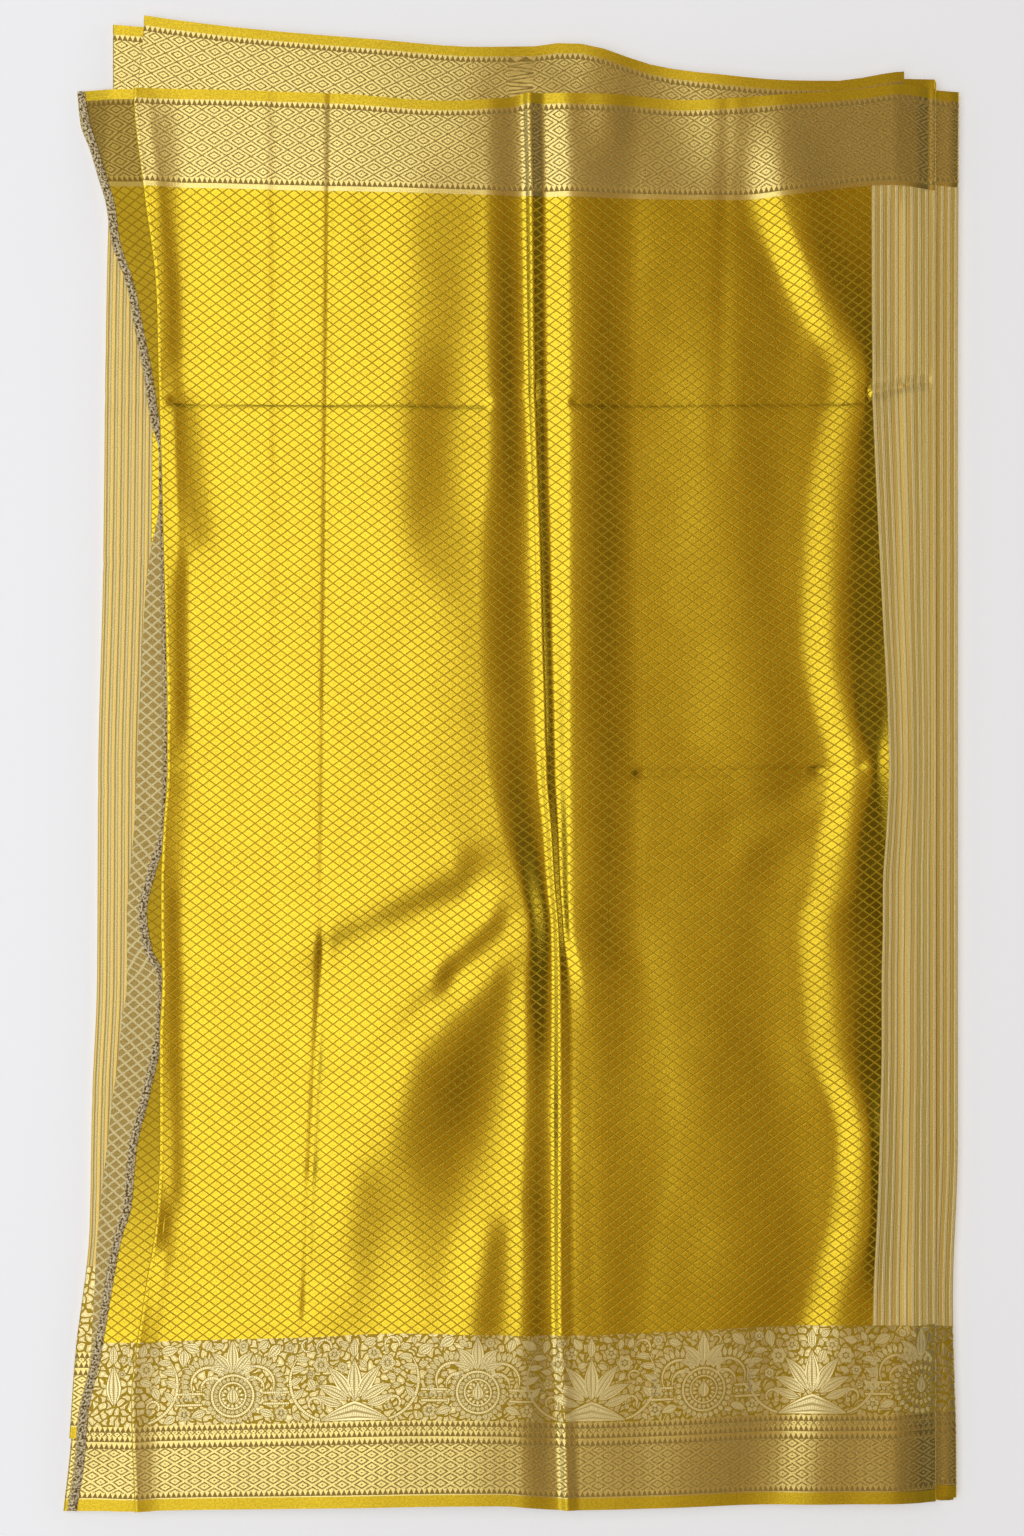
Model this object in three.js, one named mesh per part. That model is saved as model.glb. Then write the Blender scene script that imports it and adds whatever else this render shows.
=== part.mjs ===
import * as THREE from "three";

// A brocade saree, folded in half three times and laid flat, face up. Millimetres, +Z up.
// The width of the cloth lies along Y, its length along X, and the origin is under the middle.

// Cloth, seams and the air that stays in a fold.
const CLOTH = 1.2;
const SEAM = 0.3;
const FOLD_AIR = 0.5;
const FOLD_HEIGHT = 2 * CLOTH + FOLD_AIR;
const FOLD_ARC_STEPS = 4;

// Heights of the layers where the bundle lies flat.
const CORE_EDGE = 4.6;
const UNDER_FOLD = CORE_EDGE + SEAM;
const SECOND = UNDER_FOLD + FOLD_HEIGHT + SEAM;
const FRONT = SECOND + CLOTH + FOLD_AIR;
const TURNOVER = SECOND + CLOTH + SEAM;

// Places along X.
const FRONT_FOLD = 346;
const FRONT_TUCK = 26;
const UNDER_TUCK = 22;
const FOLD_FLAT_X = FRONT_FOLD - FOLD_HEIGHT / 2;
const CORE_LOW_X = FRONT_FOLD - 28;
const CORE_STEP_X = CORE_LOW_X - 6;
const CORE_STEP_Z = 2.2;
const CREASE_TUCK = 12;
const CREASE_CLEAR = 20;
const CREASE_STEP_RUN = 10;
const CREASE_LIP = 1.7;
const VALLEY_RUN = 5;
const VALLEY_DROP = 2;
const GUTTER_SHARE = 0.35;
const FOOT_Z = 2.2;
const HOLLOW_Z = 3;

// Places along Y.
const SECOND_TUCK = 45;
const SECOND_STEP_RUN = 12;
const CORNER_CLEAR = 4.5;
const CORE_INSET = 2.5;
const EDGE_GAP = 0.9;

// The relief of the front, a row for each section across it: x of each fold line, z of each crest.
const SECTIONS = [
  { y: -605, crease: -304, hill: 8, crest: 46, ledge: 73, hollow: 114, foot: 211, band: 247, stripes: 293,
    hillZ: 6, crestZ: 5, gutterZ: 3.5, ledgeZ: 3.5, bandZ: 3 },
  { y: -516, crease: -307, hill: 7, crest: 43, ledge: 71, hollow: 114, foot: 221, band: 256, stripes: 293,
    hillZ: 8, crestZ: 6, gutterZ: 4.5, ledgeZ: 4.2, bandZ: 4.5 },
  { y: -435, crease: -297, hill: 7, crest: 40, ledge: 70, hollow: 114, foot: 236, band: 272, stripes: 294,
    hillZ: 9, crestZ: 6.5, gutterZ: 5, ledgeZ: 4.5, bandZ: 5.5 },
  { y: -362, crease: -286, hill: 7, crest: 40, ledge: 68, hollow: 124, foot: 257, band: 291, stripes: 297,
    hillZ: 10, crestZ: 7, gutterZ: 5.4, ledgeZ: 5, bandZ: 6 },
  { y: -304, crease: -284, hill: 9, crest: 40, ledge: 67, hollow: 133, foot: 262, band: 290, stripes: 299,
    hillZ: 10, crestZ: 7, gutterZ: 5.4, ledgeZ: 5, bandZ: 6.5 },
  { y: -224, crease: -284, hill: 11, crest: 40, ledge: 66, hollow: 127, foot: 237, band: 272, stripes: 301,
    hillZ: 10, crestZ: 7, gutterZ: 5.4, ledgeZ: 5.4, bandZ: 6 },
  { y: -176, crease: -282, hill: 12, crest: 40, ledge: 61, hollow: 115, foot: 233, band: 269, stripes: 301,
    hillZ: 10.5, crestZ: 7, gutterZ: 5.2, ledgeZ: 6, bandZ: 6 },
  { y: -132, crease: -283, hill: 14, crest: 39, ledge: 50, hollow: 105, foot: 230, band: 266, stripes: 302,
    hillZ: 11, crestZ: 7, gutterZ: 5, ledgeZ: 7.5, bandZ: 6 },
  { y: -99, crease: -283, hill: 7, crest: 36, ledge: 49, hollow: 105, foot: 240, band: 276, stripes: 302,
    hillZ: 11, crestZ: 7, gutterZ: 5, ledgeZ: 8, bandZ: 6 },
  { y: -52, crease: -281, hill: -3, crest: 33, ledge: 49, hollow: 105, foot: 248, band: 284, stripes: 305,
    hillZ: 11, crestZ: 7, gutterZ: 5, ledgeZ: 8.5, bandZ: 6.5 },
  { y: -6, crease: -278, hill: -10, crest: 29, ledge: 49, hollow: 105, foot: 256, band: 291, stripes: 307,
    hillZ: 11, crestZ: 7, gutterZ: 5, ledgeZ: 8.5, bandZ: 6.5 },
  { y: 42, crease: -278, hill: -14, crest: 28, ledge: 49, hollow: 105, foot: 242, band: 278, stripes: 306,
    hillZ: 11, crestZ: 7, gutterZ: 5, ledgeZ: 8.5, bandZ: 6.5 },
  { y: 100, crease: -279, hill: -15, crest: 26, ledge: 49, hollow: 104, foot: 232, band: 268, stripes: 303,
    hillZ: 11, crestZ: 7, gutterZ: 5, ledgeZ: 8.5, bandZ: 6 },
  { y: 176, crease: -281, hill: -17, crest: 24, ledge: 49, hollow: 103, foot: 234, band: 270, stripes: 299,
    hillZ: 11, crestZ: 7, gutterZ: 5, ledgeZ: 8.5, bandZ: 6 },
  { y: 254, crease: -283, hill: -9, crest: 21, ledge: 49, hollow: 102, foot: 242, band: 278, stripes: 295,
    hillZ: 11, crestZ: 7, gutterZ: 5, ledgeZ: 8.5, bandZ: 6 },
  { y: 311, crease: -285, hill: -9, crest: 19, ledge: 49, hollow: 103, foot: 254, band: 287, stripes: 293,
    hillZ: 11, crestZ: 7, gutterZ: 5, ledgeZ: 8.5, bandZ: 6 },
  { y: 384, crease: -287, hill: -10, crest: 18, ledge: 49, hollow: 104, foot: 221, band: 256, stripes: 293,
    hillZ: 10.5, crestZ: 7, gutterZ: 5, ledgeZ: 8.5, bandZ: 5.5 },
  { y: 465, crease: -297, hill: -8, crest: 17, ledge: 49, hollow: 105, foot: 185, band: 221, stripes: 293,
    hillZ: 9, crestZ: 7, gutterZ: 4.5, ledgeZ: 8, bandZ: 4.5 },
  { y: 543, crease: -305, hill: -3, crest: 15, ledge: 49, hollow: 105, foot: 191, band: 226, stripes: 293,
    hillZ: 6.5, crestZ: 6, gutterZ: 4, ledgeZ: 6.5, bandZ: 4 },
  { y: 600, crease: -300, hill: 24, crest: 47, ledge: 65, hollow: 120, foot: 190, band: 226, stripes: 293,
    hillZ: 4, crestZ: 4.5, gutterZ: 3, ledgeZ: 4.5, bandZ: 2 },
];

// Soft folds that cross the front aslant, each from one end to the other.
const SLANT_FOLDS = [
  { x0: -8, y0: -105, x1: -130, y1: -151, height: -2, width0: 12, width1: 22 },
  { x0: 10, y0: -140, x1: -80, y1: -222, height: 1.8, width0: 12, width1: 22 },
  { x0: 0, y0: -176, x1: -65, y1: -240, height: -2.6, width0: 16, width1: 30 },
  { x0: -65, y0: -240, x1: -126, y1: -327, height: -2.6, width0: 30, width1: 34 },
  { x0: -126, y0: -327, x1: -134, y1: -440, height: -2, width0: 34, width1: 26 },
];

// Outlines as points along X.
const BOTTOM_EDGE = [[-364, -609], [-304, -607], [-158, -604], [-8, -601], [46, -605], [182, -602], [346, -599]];
const FLORAL_LINE = [[-339, -471], [-174, -465], [-80, -461], [41, -463], [292, -455], [346, -455]];
const ZARI_LINE = [[-306, 469], [14, 459], [182, 457], [311, 469], [346, 465]];
const TOP_EDGE = [[-353, 548], [-306, 548], [-145, 543], [-49, 536], [-2, 539], [15, 543], [89, 542],
  [144, 538], [236, 543], [285, 547], [316, 551], [346, 548], [350, 542], [366, 541]];
const SECOND_EDGE = [[-302, 609], [-276, 605], [-211, 597], [-112, 588], [-24, 581], [21, 582], [47, 585],
  [67, 582], [114, 568], [154, 561], [236, 554], [263, 554], [323, 562], [338, 560], [342, 556]];
const CORE_TOP_EDGE = [[-320, 595], [-302, 597], [-276, 599], [-211, 592], [-112, 583], [-24, 576], [47, 579],
  [114, 563], [154, 556], [236, 549], [263, 550], [323, 556], [343, 550], [350, 543], [366, 542]];

// Outlines as a row for each place along Y.
const LEFT_FOLD = [
  { y: -609, x: -364 }, { y: -554, x: -358 }, { y: -484, x: -353 }, { y: -377, x: -341 }, { y: -275, x: -339 },
  { y: -176, x: -335 }, { y: -6, x: -334 }, { y: 161, x: -330 }, { y: 334, x: -328 }, { y: 434, x: -326 },
  { y: 549, x: -322 }, { y: 601, x: -322 },
];
const RIGHT_FOLD = [
  { y: -597, x: 362 }, { y: -565, x: 362 }, { y: -435, x: 359 }, { y: -309, x: 363 }, { y: 311, x: 363 },
  { y: 546, x: 364 },
];
const CLOTH_END = [
  { y: -605, outer: -360, inner: -352 }, { y: -567, outer: -354, inner: -346 },
  { y: -530, outer: -351, inner: -343 }, { y: -484, outer: -341, inner: -333 },
  { y: -384, outer: -335, inner: -315 }, { y: -362, outer: -333, inner: -308 },
  { y: -311, outer: -327, inner: -303 }, { y: -275, outer: -323, inner: -294 },
  { y: -240, outer: -318, inner: -286 }, { y: -217, outer: -316, inner: -281 },
  { y: -176, outer: -311, inner: -279 }, { y: -150, outer: -311, inner: -291 },
  { y: -122, outer: -311, inner: -295 }, { y: -85, outer: -308, inner: -287 },
  { y: -50, outer: -305, inner: -277 }, { y: 45, outer: -301, inner: -274 },
  { y: 103, outer: -298, inner: -275 }, { y: 150, outer: -295, inner: -276 },
  { y: 176, outer: -291, inner: -277 }, { y: 212, outer: -285, inner: -279 },
  { y: 253, outer: -285, inner: -280 }, { y: 279, outer: -292, inner: -285 },
  { y: 318, outer: -298, inner: -291 }, { y: 349, outer: -304, inner: -297 },
  { y: 388, outer: -311, inner: -305 }, { y: 425, outer: -324, inner: -317 },
  { y: 454, outer: -328, inner: -321 }, { y: 477, outer: -335, inner: -328 },
  { y: 500, outer: -342, inner: -335 }, { y: 521, outer: -350, inner: -342 },
  { y: 548, outer: -353, inner: -347 },
];

// The end of the cloth hangs down to the floor where it passes the fold below.
const END_SLOPE = 0.25;
const END_OVERHANG = 1.5;

// Layered side of the hidden folds: each bulge as a share of the height, with its own inset.
const SIDE_LAYERS = [
  { share: 0.34, inset: 0.4 },
  { share: 0.36, inset: 0 },
  { share: 0.3, inset: 1.2 },
];
const SIDE_GROOVE = 1;
const RIM_DROP = 0.7;
const UNDERSIDE_MIDDLE_Y = 100;

// Rows of the shared net between the floral line and the zari line.
const FIELD_ROWS = [-420, -362, -304, -264, -224, -176, -132, -99, -52, -6, 42, 100, 138, 176, 215, 254,
  311, 347, 384, 425];
const BORDER_ROWS = 3;

const mix = (a, b, t) => a + (b - a) * t;
const ease = (t) => t * t * (3 - 2 * t);
const clamp = (t) => Math.min(1, Math.max(0, t));

function line(points, x) {
  const last = points.length - 1;
  if (x <= points[0][0]) return points[0][1];
  if (x >= points[last][0]) return points[last][1];
  const i = points.findIndex((point) => point[0] > x) - 1;
  const [x0, y0] = points[i];
  const [x1, y1] = points[i + 1];
  return mix(y0, y1, (x - x0) / (x1 - x0));
}

function rowAt(table, y) {
  const last = table.length - 1;
  if (y <= table[0].y) return table[0];
  if (y >= table[last].y) return table[last];
  const i = table.findIndex((row) => row.y > y) - 1;
  const t = (y - table[i].y) / (table[i + 1].y - table[i].y);
  const row = {};
  for (const key of Object.keys(table[i])) row[key] = mix(table[i][key], table[i + 1][key], t);
  return row;
}

// Relief

function profile(y) {
  const s = rowAt(SECTIONS, y);
  const gutter = mix(s.crest, s.ledge, GUTTER_SHARE);
  return [
    { x: s.crease, z: 0, soft: true },
    { x: s.hill, z: s.hillZ, soft: true },
    { x: s.crest - VALLEY_RUN, z: s.crestZ - VALLEY_DROP, soft: false },
    { x: s.crest, z: s.crestZ, soft: false },
    { x: gutter, z: s.gutterZ, soft: true },
    { x: s.ledge, z: s.ledgeZ, soft: true },
    { x: s.hollow, z: HOLLOW_Z, soft: true },
    { x: s.foot, z: FOOT_Z, soft: true },
    { x: s.band, z: s.bandZ, soft: false },
    { x: CORE_STEP_X, z: CORE_STEP_Z, soft: false },
    { x: FOLD_FLAT_X, z: 0, soft: false },
  ];
}

function slantRelief(x, y) {
  let z = 0;
  for (const fold of SLANT_FOLDS) {
    const dx = fold.x1 - fold.x0;
    const dy = fold.y1 - fold.y0;
    const t = clamp(((x - fold.x0) * dx + (y - fold.y0) * dy) / (dx * dx + dy * dy));
    const away = Math.hypot(x - fold.x0 - dx * t, y - fold.y0 - dy * t);
    z += fold.height * Math.exp(-((away / mix(fold.width0, fold.width1, t)) ** 2));
  }
  return z;
}

function relief(x, y) {
  const points = profile(y);
  const i = points.findIndex((point) => point.x > x) - 1;
  if (i < 0) return 0;
  const a = points[i];
  const b = points[i + 1];
  const t = (x - a.x) / (b.x - a.x);
  return mix(a.z, b.z, a.soft ? ease(t) : t) + slantRelief(x, y);
}

// The shared net of columns and rows that all the layers follow.

function between(a, b, count) {
  return Array.from({ length: count }, (_, i) => mix(a, b, (i + 1) / (count + 1)));
}

const COLUMN = { crease: 0, clear: 1, step: 2, stripes: 20, coreLow: 22 };

function columnsAt(y) {
  const s = rowAt(SECTIONS, y);
  const valley = s.crest - VALLEY_RUN;
  const clear = s.crease + CREASE_CLEAR;
  const step = clear + CREASE_STEP_RUN;
  return [
    s.crease, clear, step, ...between(step, s.hill, 4), s.hill,
    ...between(s.hill, valley, 1), valley, s.crest, mix(s.crest, s.ledge, GUTTER_SHARE), s.ledge,
    ...between(s.ledge, s.hollow, 1), s.hollow, ...between(s.hollow, s.foot, 2), s.foot,
    ...between(s.foot, s.band, 1), s.band, s.stripes,
    CORE_STEP_X, CORE_LOW_X, FOLD_FLAT_X,
  ];
}

function rowsAt(x) {
  const bottom = line(BOTTOM_EDGE, x);
  const floral = line(FLORAL_LINE, x);
  const zari = line(ZARI_LINE, x);
  const top = line(TOP_EDGE, x);
  const low = FLORAL_LINE[2][1];
  const high = ZARI_LINE[1][1];
  const field = FIELD_ROWS.map((y) => mix(floral, zari, (y - low) / (high - low)));
  return [
    bottom, ...between(bottom, floral, BORDER_ROWS), floral, ...field, zari,
    top - SECOND_TUCK - SECOND_STEP_RUN, top - SECOND_TUCK, top - SECOND_TUCK / 2, top,
  ];
}

const ROW_FLORAL = BORDER_ROWS + 1;
const ROW_ZARI = ROW_FLORAL + FIELD_ROWS.length + 1;
const ROW_STEP = ROW_ZARI + 1;
const ROW_TOP = ROW_ZARI + 4;

// Where the columns cross a line that runs along X.
function columnsNear(yAt) {
  return columnsAt(yAt(0)).map((x, column) => columnsAt(yAt(x))[column]);
}

function netPoint(column, row) {
  const x = columnsNear((at) => rowsAt(at)[row])[column];
  return { x, y: rowsAt(x)[row] };
}

// Closed solids from nets of points

const point = (x, y, z) => new THREE.Vector3(x, y, z);

function solid(points, index) {
  const geometry = new THREE.BufferGeometry();
  const numbers = points.flatMap((p) => [p.x, p.y, p.z]);
  geometry.setAttribute("position", new THREE.Float32BufferAttribute(numbers, 3));
  geometry.setIndex(index);
  geometry.computeVertexNormals();
  return geometry;
}

function rimOf(rows, columns) {
  const at = (r, c) => r * columns + c;
  const rim = [];
  for (let c = 0; c < columns - 1; c += 1) rim.push(at(0, c));
  for (let r = 0; r < rows - 1; r += 1) rim.push(at(r, columns - 1));
  for (let c = columns - 1; c > 0; c -= 1) rim.push(at(rows - 1, c));
  for (let r = rows - 1; r > 0; r -= 1) rim.push(at(r, 0));
  return rim;
}

function addQuad(index, a, b, c, d) {
  index.push(a, b, c, a, c, d);
}

// A cloth wall between its outer and its inner side, each a list of rows of points.
function wall(outer, inner) {
  const rows = outer.length;
  const columns = outer[0].length;
  const under = rows * columns;
  const index = [];
  for (let r = 0; r < rows - 1; r += 1) {
    for (let c = 0; c < columns - 1; c += 1) {
      const a = r * columns + c;
      const b = a + columns;
      addQuad(index, a, a + 1, b + 1, b);
      addQuad(index, under + b + 1, under + a + 1, under + a, under + b);
    }
  }
  const rim = rimOf(rows, columns);
  rim.forEach((a, i) => {
    const b = rim[(i + 1) % rim.length];
    addQuad(index, under + a, under + b, b, a);
  });
  return solid([...outer.flat(), ...inner.flat()], index);
}

// Half-round end of a fold: from the upper layer, round the outside, to the lower one.
function foldArc(xEdge, side, y, zLow) {
  const radius = FOLD_HEIGHT / 2;
  return Array.from({ length: FOLD_ARC_STEPS + 1 }, (_, i) => {
    const angle = Math.PI * (0.5 - i / FOLD_ARC_STEPS);
    const reach = side * Math.cos(angle);
    const rise = Math.sin(angle);
    const centre = xEdge - side * radius;
    return {
      outer: point(centre + reach * radius, y, zLow + radius + rise * radius),
      inner: point(centre + (reach * FOLD_AIR) / 2, y, zLow + radius + (rise * FOLD_AIR) / 2),
    };
  });
}

// Front panel

function frontTop(x, y) {
  const s = rowAt(SECTIONS, y);
  const lip = CREASE_LIP * clamp(1 - (x - s.crease) / CREASE_CLEAR);
  return FRONT + CLOTH + lip + relief(x, y);
}

// Seams run in the middle of a gap, so each piece ends half a gap before the shared line.
function frontPiece({ firstColumn, lastColumn, firstRow, lastRow, wraps }) {
  const outer = [];
  const inner = [];
  for (let row = firstRow; row <= lastRow; row += 1) {
    const insetY = row === firstRow && row > 0 ? SEAM / 2 : row === lastRow && row < ROW_TOP ? -SEAM / 2 : 0;
    const outerRow = [];
    const innerRow = [];
    for (let column = firstColumn; column <= lastColumn; column += 1) {
      const net = netPoint(column, row);
      const insetX = column === firstColumn && column > 0 ? SEAM / 2 : !wraps && column === lastColumn ? -SEAM / 2 : 0;
      const z = frontTop(net.x, net.y);
      outerRow.push(point(net.x + insetX, net.y + insetY, z));
      innerRow.push(point(net.x + insetX, net.y + insetY, z - CLOTH));
    }
    if (wraps) {
      const y = rowsAt(FRONT_FOLD)[row] + insetY;
      const tuckClear = row === ROW_TOP ? CORNER_CLEAR : 0;
      foldArc(FRONT_FOLD, 1, y, SECOND).forEach(({ outer: a, inner: b }, i) => {
        const shift = (tuckClear * i) / FOLD_ARC_STEPS;
        outerRow.push(point(a.x, y - shift, a.z));
        innerRow.push(point(b.x, y - shift, b.z));
      });
      const tuckX = FRONT_FOLD - FRONT_TUCK;
      const z = SECOND + relief(tuckX, y);
      outerRow.push(point(tuckX, y - tuckClear, z));
      innerRow.push(point(tuckX, y - tuckClear, z + CLOTH));
    }
    outer.push(outerRow);
    inner.push(innerRow);
  }
  return wall(outer, inner);
}

// Second layer, past the top edge of the front

function secondLayer() {
  const outer = [];
  const inner = [];
  const lines = [
    { drop: SECOND_TUCK, reach: 0, hidden: true },
    { drop: SECOND_TUCK / 2, reach: 0, hidden: true },
    { drop: CORNER_CLEAR - 1, reach: 0, hidden: true },
    { drop: SEAM, reach: 0, hidden: false },
    { drop: 0, reach: 0.5, hidden: false },
    { drop: 0, reach: 1, hidden: false },
  ];
  for (const { drop, reach, hidden } of lines) {
    const yAt = (x) => mix(line(TOP_EDGE, x) - drop, line(SECOND_EDGE, x), reach);
    const middle = columnsNear(yAt);
    const start = hidden ? middle[COLUMN.crease] + CREASE_TUCK + 2 * SEAM : SECOND_EDGE[0][0] + 4 * (1 - reach);
    const end = hidden ? FRONT_FOLD - FRONT_TUCK - 2 * SEAM : SECOND_EDGE[SECOND_EDGE.length - 1][0];
    const xs = [start, ...middle.slice(COLUMN.step, COLUMN.coreLow), end];
    const net = xs.map((x) => ({ x, y: yAt(x) }));
    outer.push(net.map(({ x, y }) => point(x, y, SECOND + CLOTH + relief(x, y))));
    inner.push(net.map(({ x, y }) => point(x, y, SECOND + relief(x, y))));
  }
  return wall(outer, inner);
}

// Folds below

function leftUnderFold() {
  const outer = [];
  const inner = [];
  const topZ = UNDER_FOLD + FOLD_HEIGHT;
  LEFT_FOLD.forEach(({ x, y }, i) => {
    const tuckX = rowAt(SECTIONS, y).crease + CREASE_TUCK;
    const tuckY = i === 0 ? y + 2 : i === LEFT_FOLD.length - 1 ? y - 3 : y;
    const arc = foldArc(x, -1, y, UNDER_FOLD).reverse();
    outer.push([point(tuckX, tuckY, UNDER_FOLD), ...arc.map((p) => p.outer), point(tuckX, tuckY, topZ)]);
    inner.push([
      point(tuckX, tuckY, UNDER_FOLD + CLOTH), ...arc.map((p) => p.inner), point(tuckX, tuckY, topZ - CLOTH),
    ]);
  });
  return wall(outer, inner);
}

function rightUnderFold() {
  const outer = [];
  const inner = [];
  const tuckX = FRONT_FOLD - UNDER_TUCK;
  const topZ = UNDER_FOLD + FOLD_HEIGHT;
  for (let row = 0; row <= ROW_TOP; row += 1) {
    const net = rowsAt(tuckX)[row];
    const y = Math.min(RIGHT_FOLD[RIGHT_FOLD.length - 1].y, Math.max(RIGHT_FOLD[0].y, net));
    const rise = relief(tuckX, y);
    const arc = foldArc(rowAt(RIGHT_FOLD, y).x, 1, y, UNDER_FOLD);
    outer.push([
      point(tuckX, y, topZ + rise), point(FOLD_FLAT_X, y, topZ), ...arc.map((p) => p.outer),
      point(FOLD_FLAT_X, y, UNDER_FOLD), point(tuckX, y, UNDER_FOLD + rise),
    ]);
    inner.push([
      point(tuckX, y, topZ - CLOTH + rise), point(FOLD_FLAT_X, y, topZ - CLOTH), ...arc.map((p) => p.inner),
      point(FOLD_FLAT_X, y, UNDER_FOLD + CLOTH), point(tuckX, y, UNDER_FOLD + CLOTH + rise),
    ]);
  }
  return wall(outer, inner);
}

// The end of the cloth, with its cut edge turned over to the face

function endDrop(x, y) {
  return END_SLOPE * Math.max(0, rowAt(LEFT_FOLD, y).x - END_OVERHANG - x);
}

function endKnee({ y, outer }) {
  const crease = rowAt(SECTIONS, y).crease;
  return Math.max(rowAt(LEFT_FOLD, y).x - END_OVERHANG, mix(outer, crease, 0.35));
}

function endStrip() {
  const outer = [];
  const inner = [];
  CLOTH_END.forEach((row, i) => {
    const crease = rowAt(SECTIONS, row.y).crease;
    const knee = endKnee(row);
    const xs = [row.outer, mix(row.outer, knee, 0.5), knee, crease - SEAM, crease + CREASE_TUCK];
    const isTop = i === CLOTH_END.length - 1;
    const net = xs.map((x) => ({ x, y: isTop && x > crease - 1 ? row.y - CORNER_CLEAR : row.y }));
    outer.push(net.map(({ x, y }) => point(x, y, SECOND + CLOTH - endDrop(x, row.y))));
    inner.push(net.map(({ x, y }) => point(x, y, SECOND - endDrop(x, row.y))));
  });
  return wall(outer, inner);
}

function endTurnover() {
  const outer = [];
  const inner = [];
  for (const row of CLOTH_END) {
    const margin = 1.5;
    const middle = Math.min(row.inner - margin, Math.max(row.outer + margin, endKnee(row)));
    const xs = [row.outer + SEAM, middle, row.inner];
    outer.push(xs.map((x) => point(x, row.y, TURNOVER + CLOTH - endDrop(x, row.y))));
    inner.push(xs.map((x) => point(x, row.y, TURNOVER - endDrop(x, row.y))));
  }
  return wall(outer, inner);
}

// The hidden folds as one solid

function coreTop(column, row, x, y) {
  const net = column - 1;
  if (net <= COLUMN.clear) return CORE_EDGE;
  if (net >= COLUMN.coreLow) return CORE_EDGE + relief(x, y);
  if (row >= ROW_TOP) return SECOND - EDGE_GAP + relief(x, y);
  const below = row > ROW_STEP ? SECOND : FRONT;
  return below - SEAM + relief(x, y);
}

function coreNet(column, row, lastColumn) {
  const beyond = row - ROW_TOP;
  const yAt = (x) => {
    if (beyond > 0) return mix(line(TOP_EDGE, x), line(CORE_TOP_EDGE, x), beyond / 2);
    if (row === 0) return line(BOTTOM_EDGE, x) + CORE_INSET;
    return rowsAt(x)[row];
  };
  if (column > 0 && column < lastColumn) {
    const x = columnsNear(yAt)[column - 1];
    return { x, y: yAt(x) };
  }
  const side = column === 0 ? LEFT_FOLD : RIGHT_FOLD;
  const inset = column === 0 ? CORE_INSET : -CORE_INSET;
  const y = yAt(rowAt(side, yAt(0)).x);
  const edge = rowAt(side, y);
  return { x: edge.x + inset, y };
}

function hiddenLayers() {
  const columns = columnsAt(0).length + 2;
  const rows = ROW_TOP + 3;
  const points = [];
  for (let row = 0; row < rows; row += 1) {
    for (let column = 0; column < columns; column += 1) {
      const { x, y } = coreNet(column, row, columns - 1);
      const isRim = row === 0 || row === rows - 1 || column === 0 || column === columns - 1;
      points.push(point(x, y, coreTop(column, row, x, y) - (isRim ? RIM_DROP : 0)));
    }
  }
  const index = [];
  for (let row = 0; row < rows - 1; row += 1) {
    for (let column = 0; column < columns - 1; column += 1) {
      const a = row * columns + column;
      const b = a + columns;
      addQuad(index, a, a + 1, b + 1, b);
    }
  }
  const rim = rimOf(rows, columns);
  const inward = rim.map((a, i) => {
    const before = points[rim[(i + rim.length - 1) % rim.length]];
    const after = points[rim[(i + 1) % rim.length]];
    return new THREE.Vector2(before.y - after.y, after.x - before.x).normalize();
  });
  const rings = [rim];
  const addRing = (inset, share) => {
    const start = points.length;
    rim.forEach((a, i) => {
      const p = points[a];
      points.push(point(p.x + inward[i].x * inset, p.y + inward[i].y * inset, p.z * share));
    });
    rings.push(rim.map((_, i) => start + i));
  };
  let share = 1;
  for (const layer of [...SIDE_LAYERS].reverse()) {
    addRing(layer.inset - SIDE_GROOVE / 2, share - layer.share / 2);
    share -= layer.share;
    addRing(SIDE_GROOVE, Math.max(share, 0));
  }
  for (let k = 0; k < rings.length - 1; k += 1) {
    const upper = rings[k];
    const lower = rings[k + 1];
    upper.forEach((a, i) => {
      const j = (i + 1) % upper.length;
      addQuad(index, lower[i], lower[j], upper[j], a);
    });
  }
  const foot = rings[rings.length - 1];
  foot.forEach((a) => {
    points[a].z = 0;
  });
  const middle = points.push(point(0, UNDERSIDE_MIDDLE_Y, 0)) - 1;
  foot.forEach((a, i) => index.push(middle, foot[(i + 1) % foot.length], a));
  return solid(points, index);
}

// Materials and the part

function silk(color, roughness, metalness) {
  return new THREE.MeshStandardMaterial({ color, roughness, metalness });
}

const fieldSilk = silk(0xd9b52a, 0.35, 0.55);
const zariSilk = silk(0xdcc476, 0.35, 0.65);
const stripedSilk = silk(0xc9a75c, 0.45, 0.4);
const reverseSilk = silk(0xc6a465, 0.6, 0.3);
const layeredSilk = silk(0xb98f22, 0.5, 0.4);

const group = new THREE.Group();

function addPiece(name, geometry, material) {
  const mesh = new THREE.Mesh(geometry, material);
  mesh.name = name;
  group.add(mesh);
}

const upToStripes = { firstColumn: COLUMN.crease, lastColumn: COLUMN.stripes, wraps: false };
const acrossFront = { firstColumn: COLUMN.crease, lastColumn: COLUMN.coreLow, wraps: true };
const stripesOnly = { firstColumn: COLUMN.stripes, lastColumn: COLUMN.coreLow, wraps: true };
const fieldSpan = { firstRow: ROW_FLORAL, lastRow: ROW_ZARI };

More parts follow.
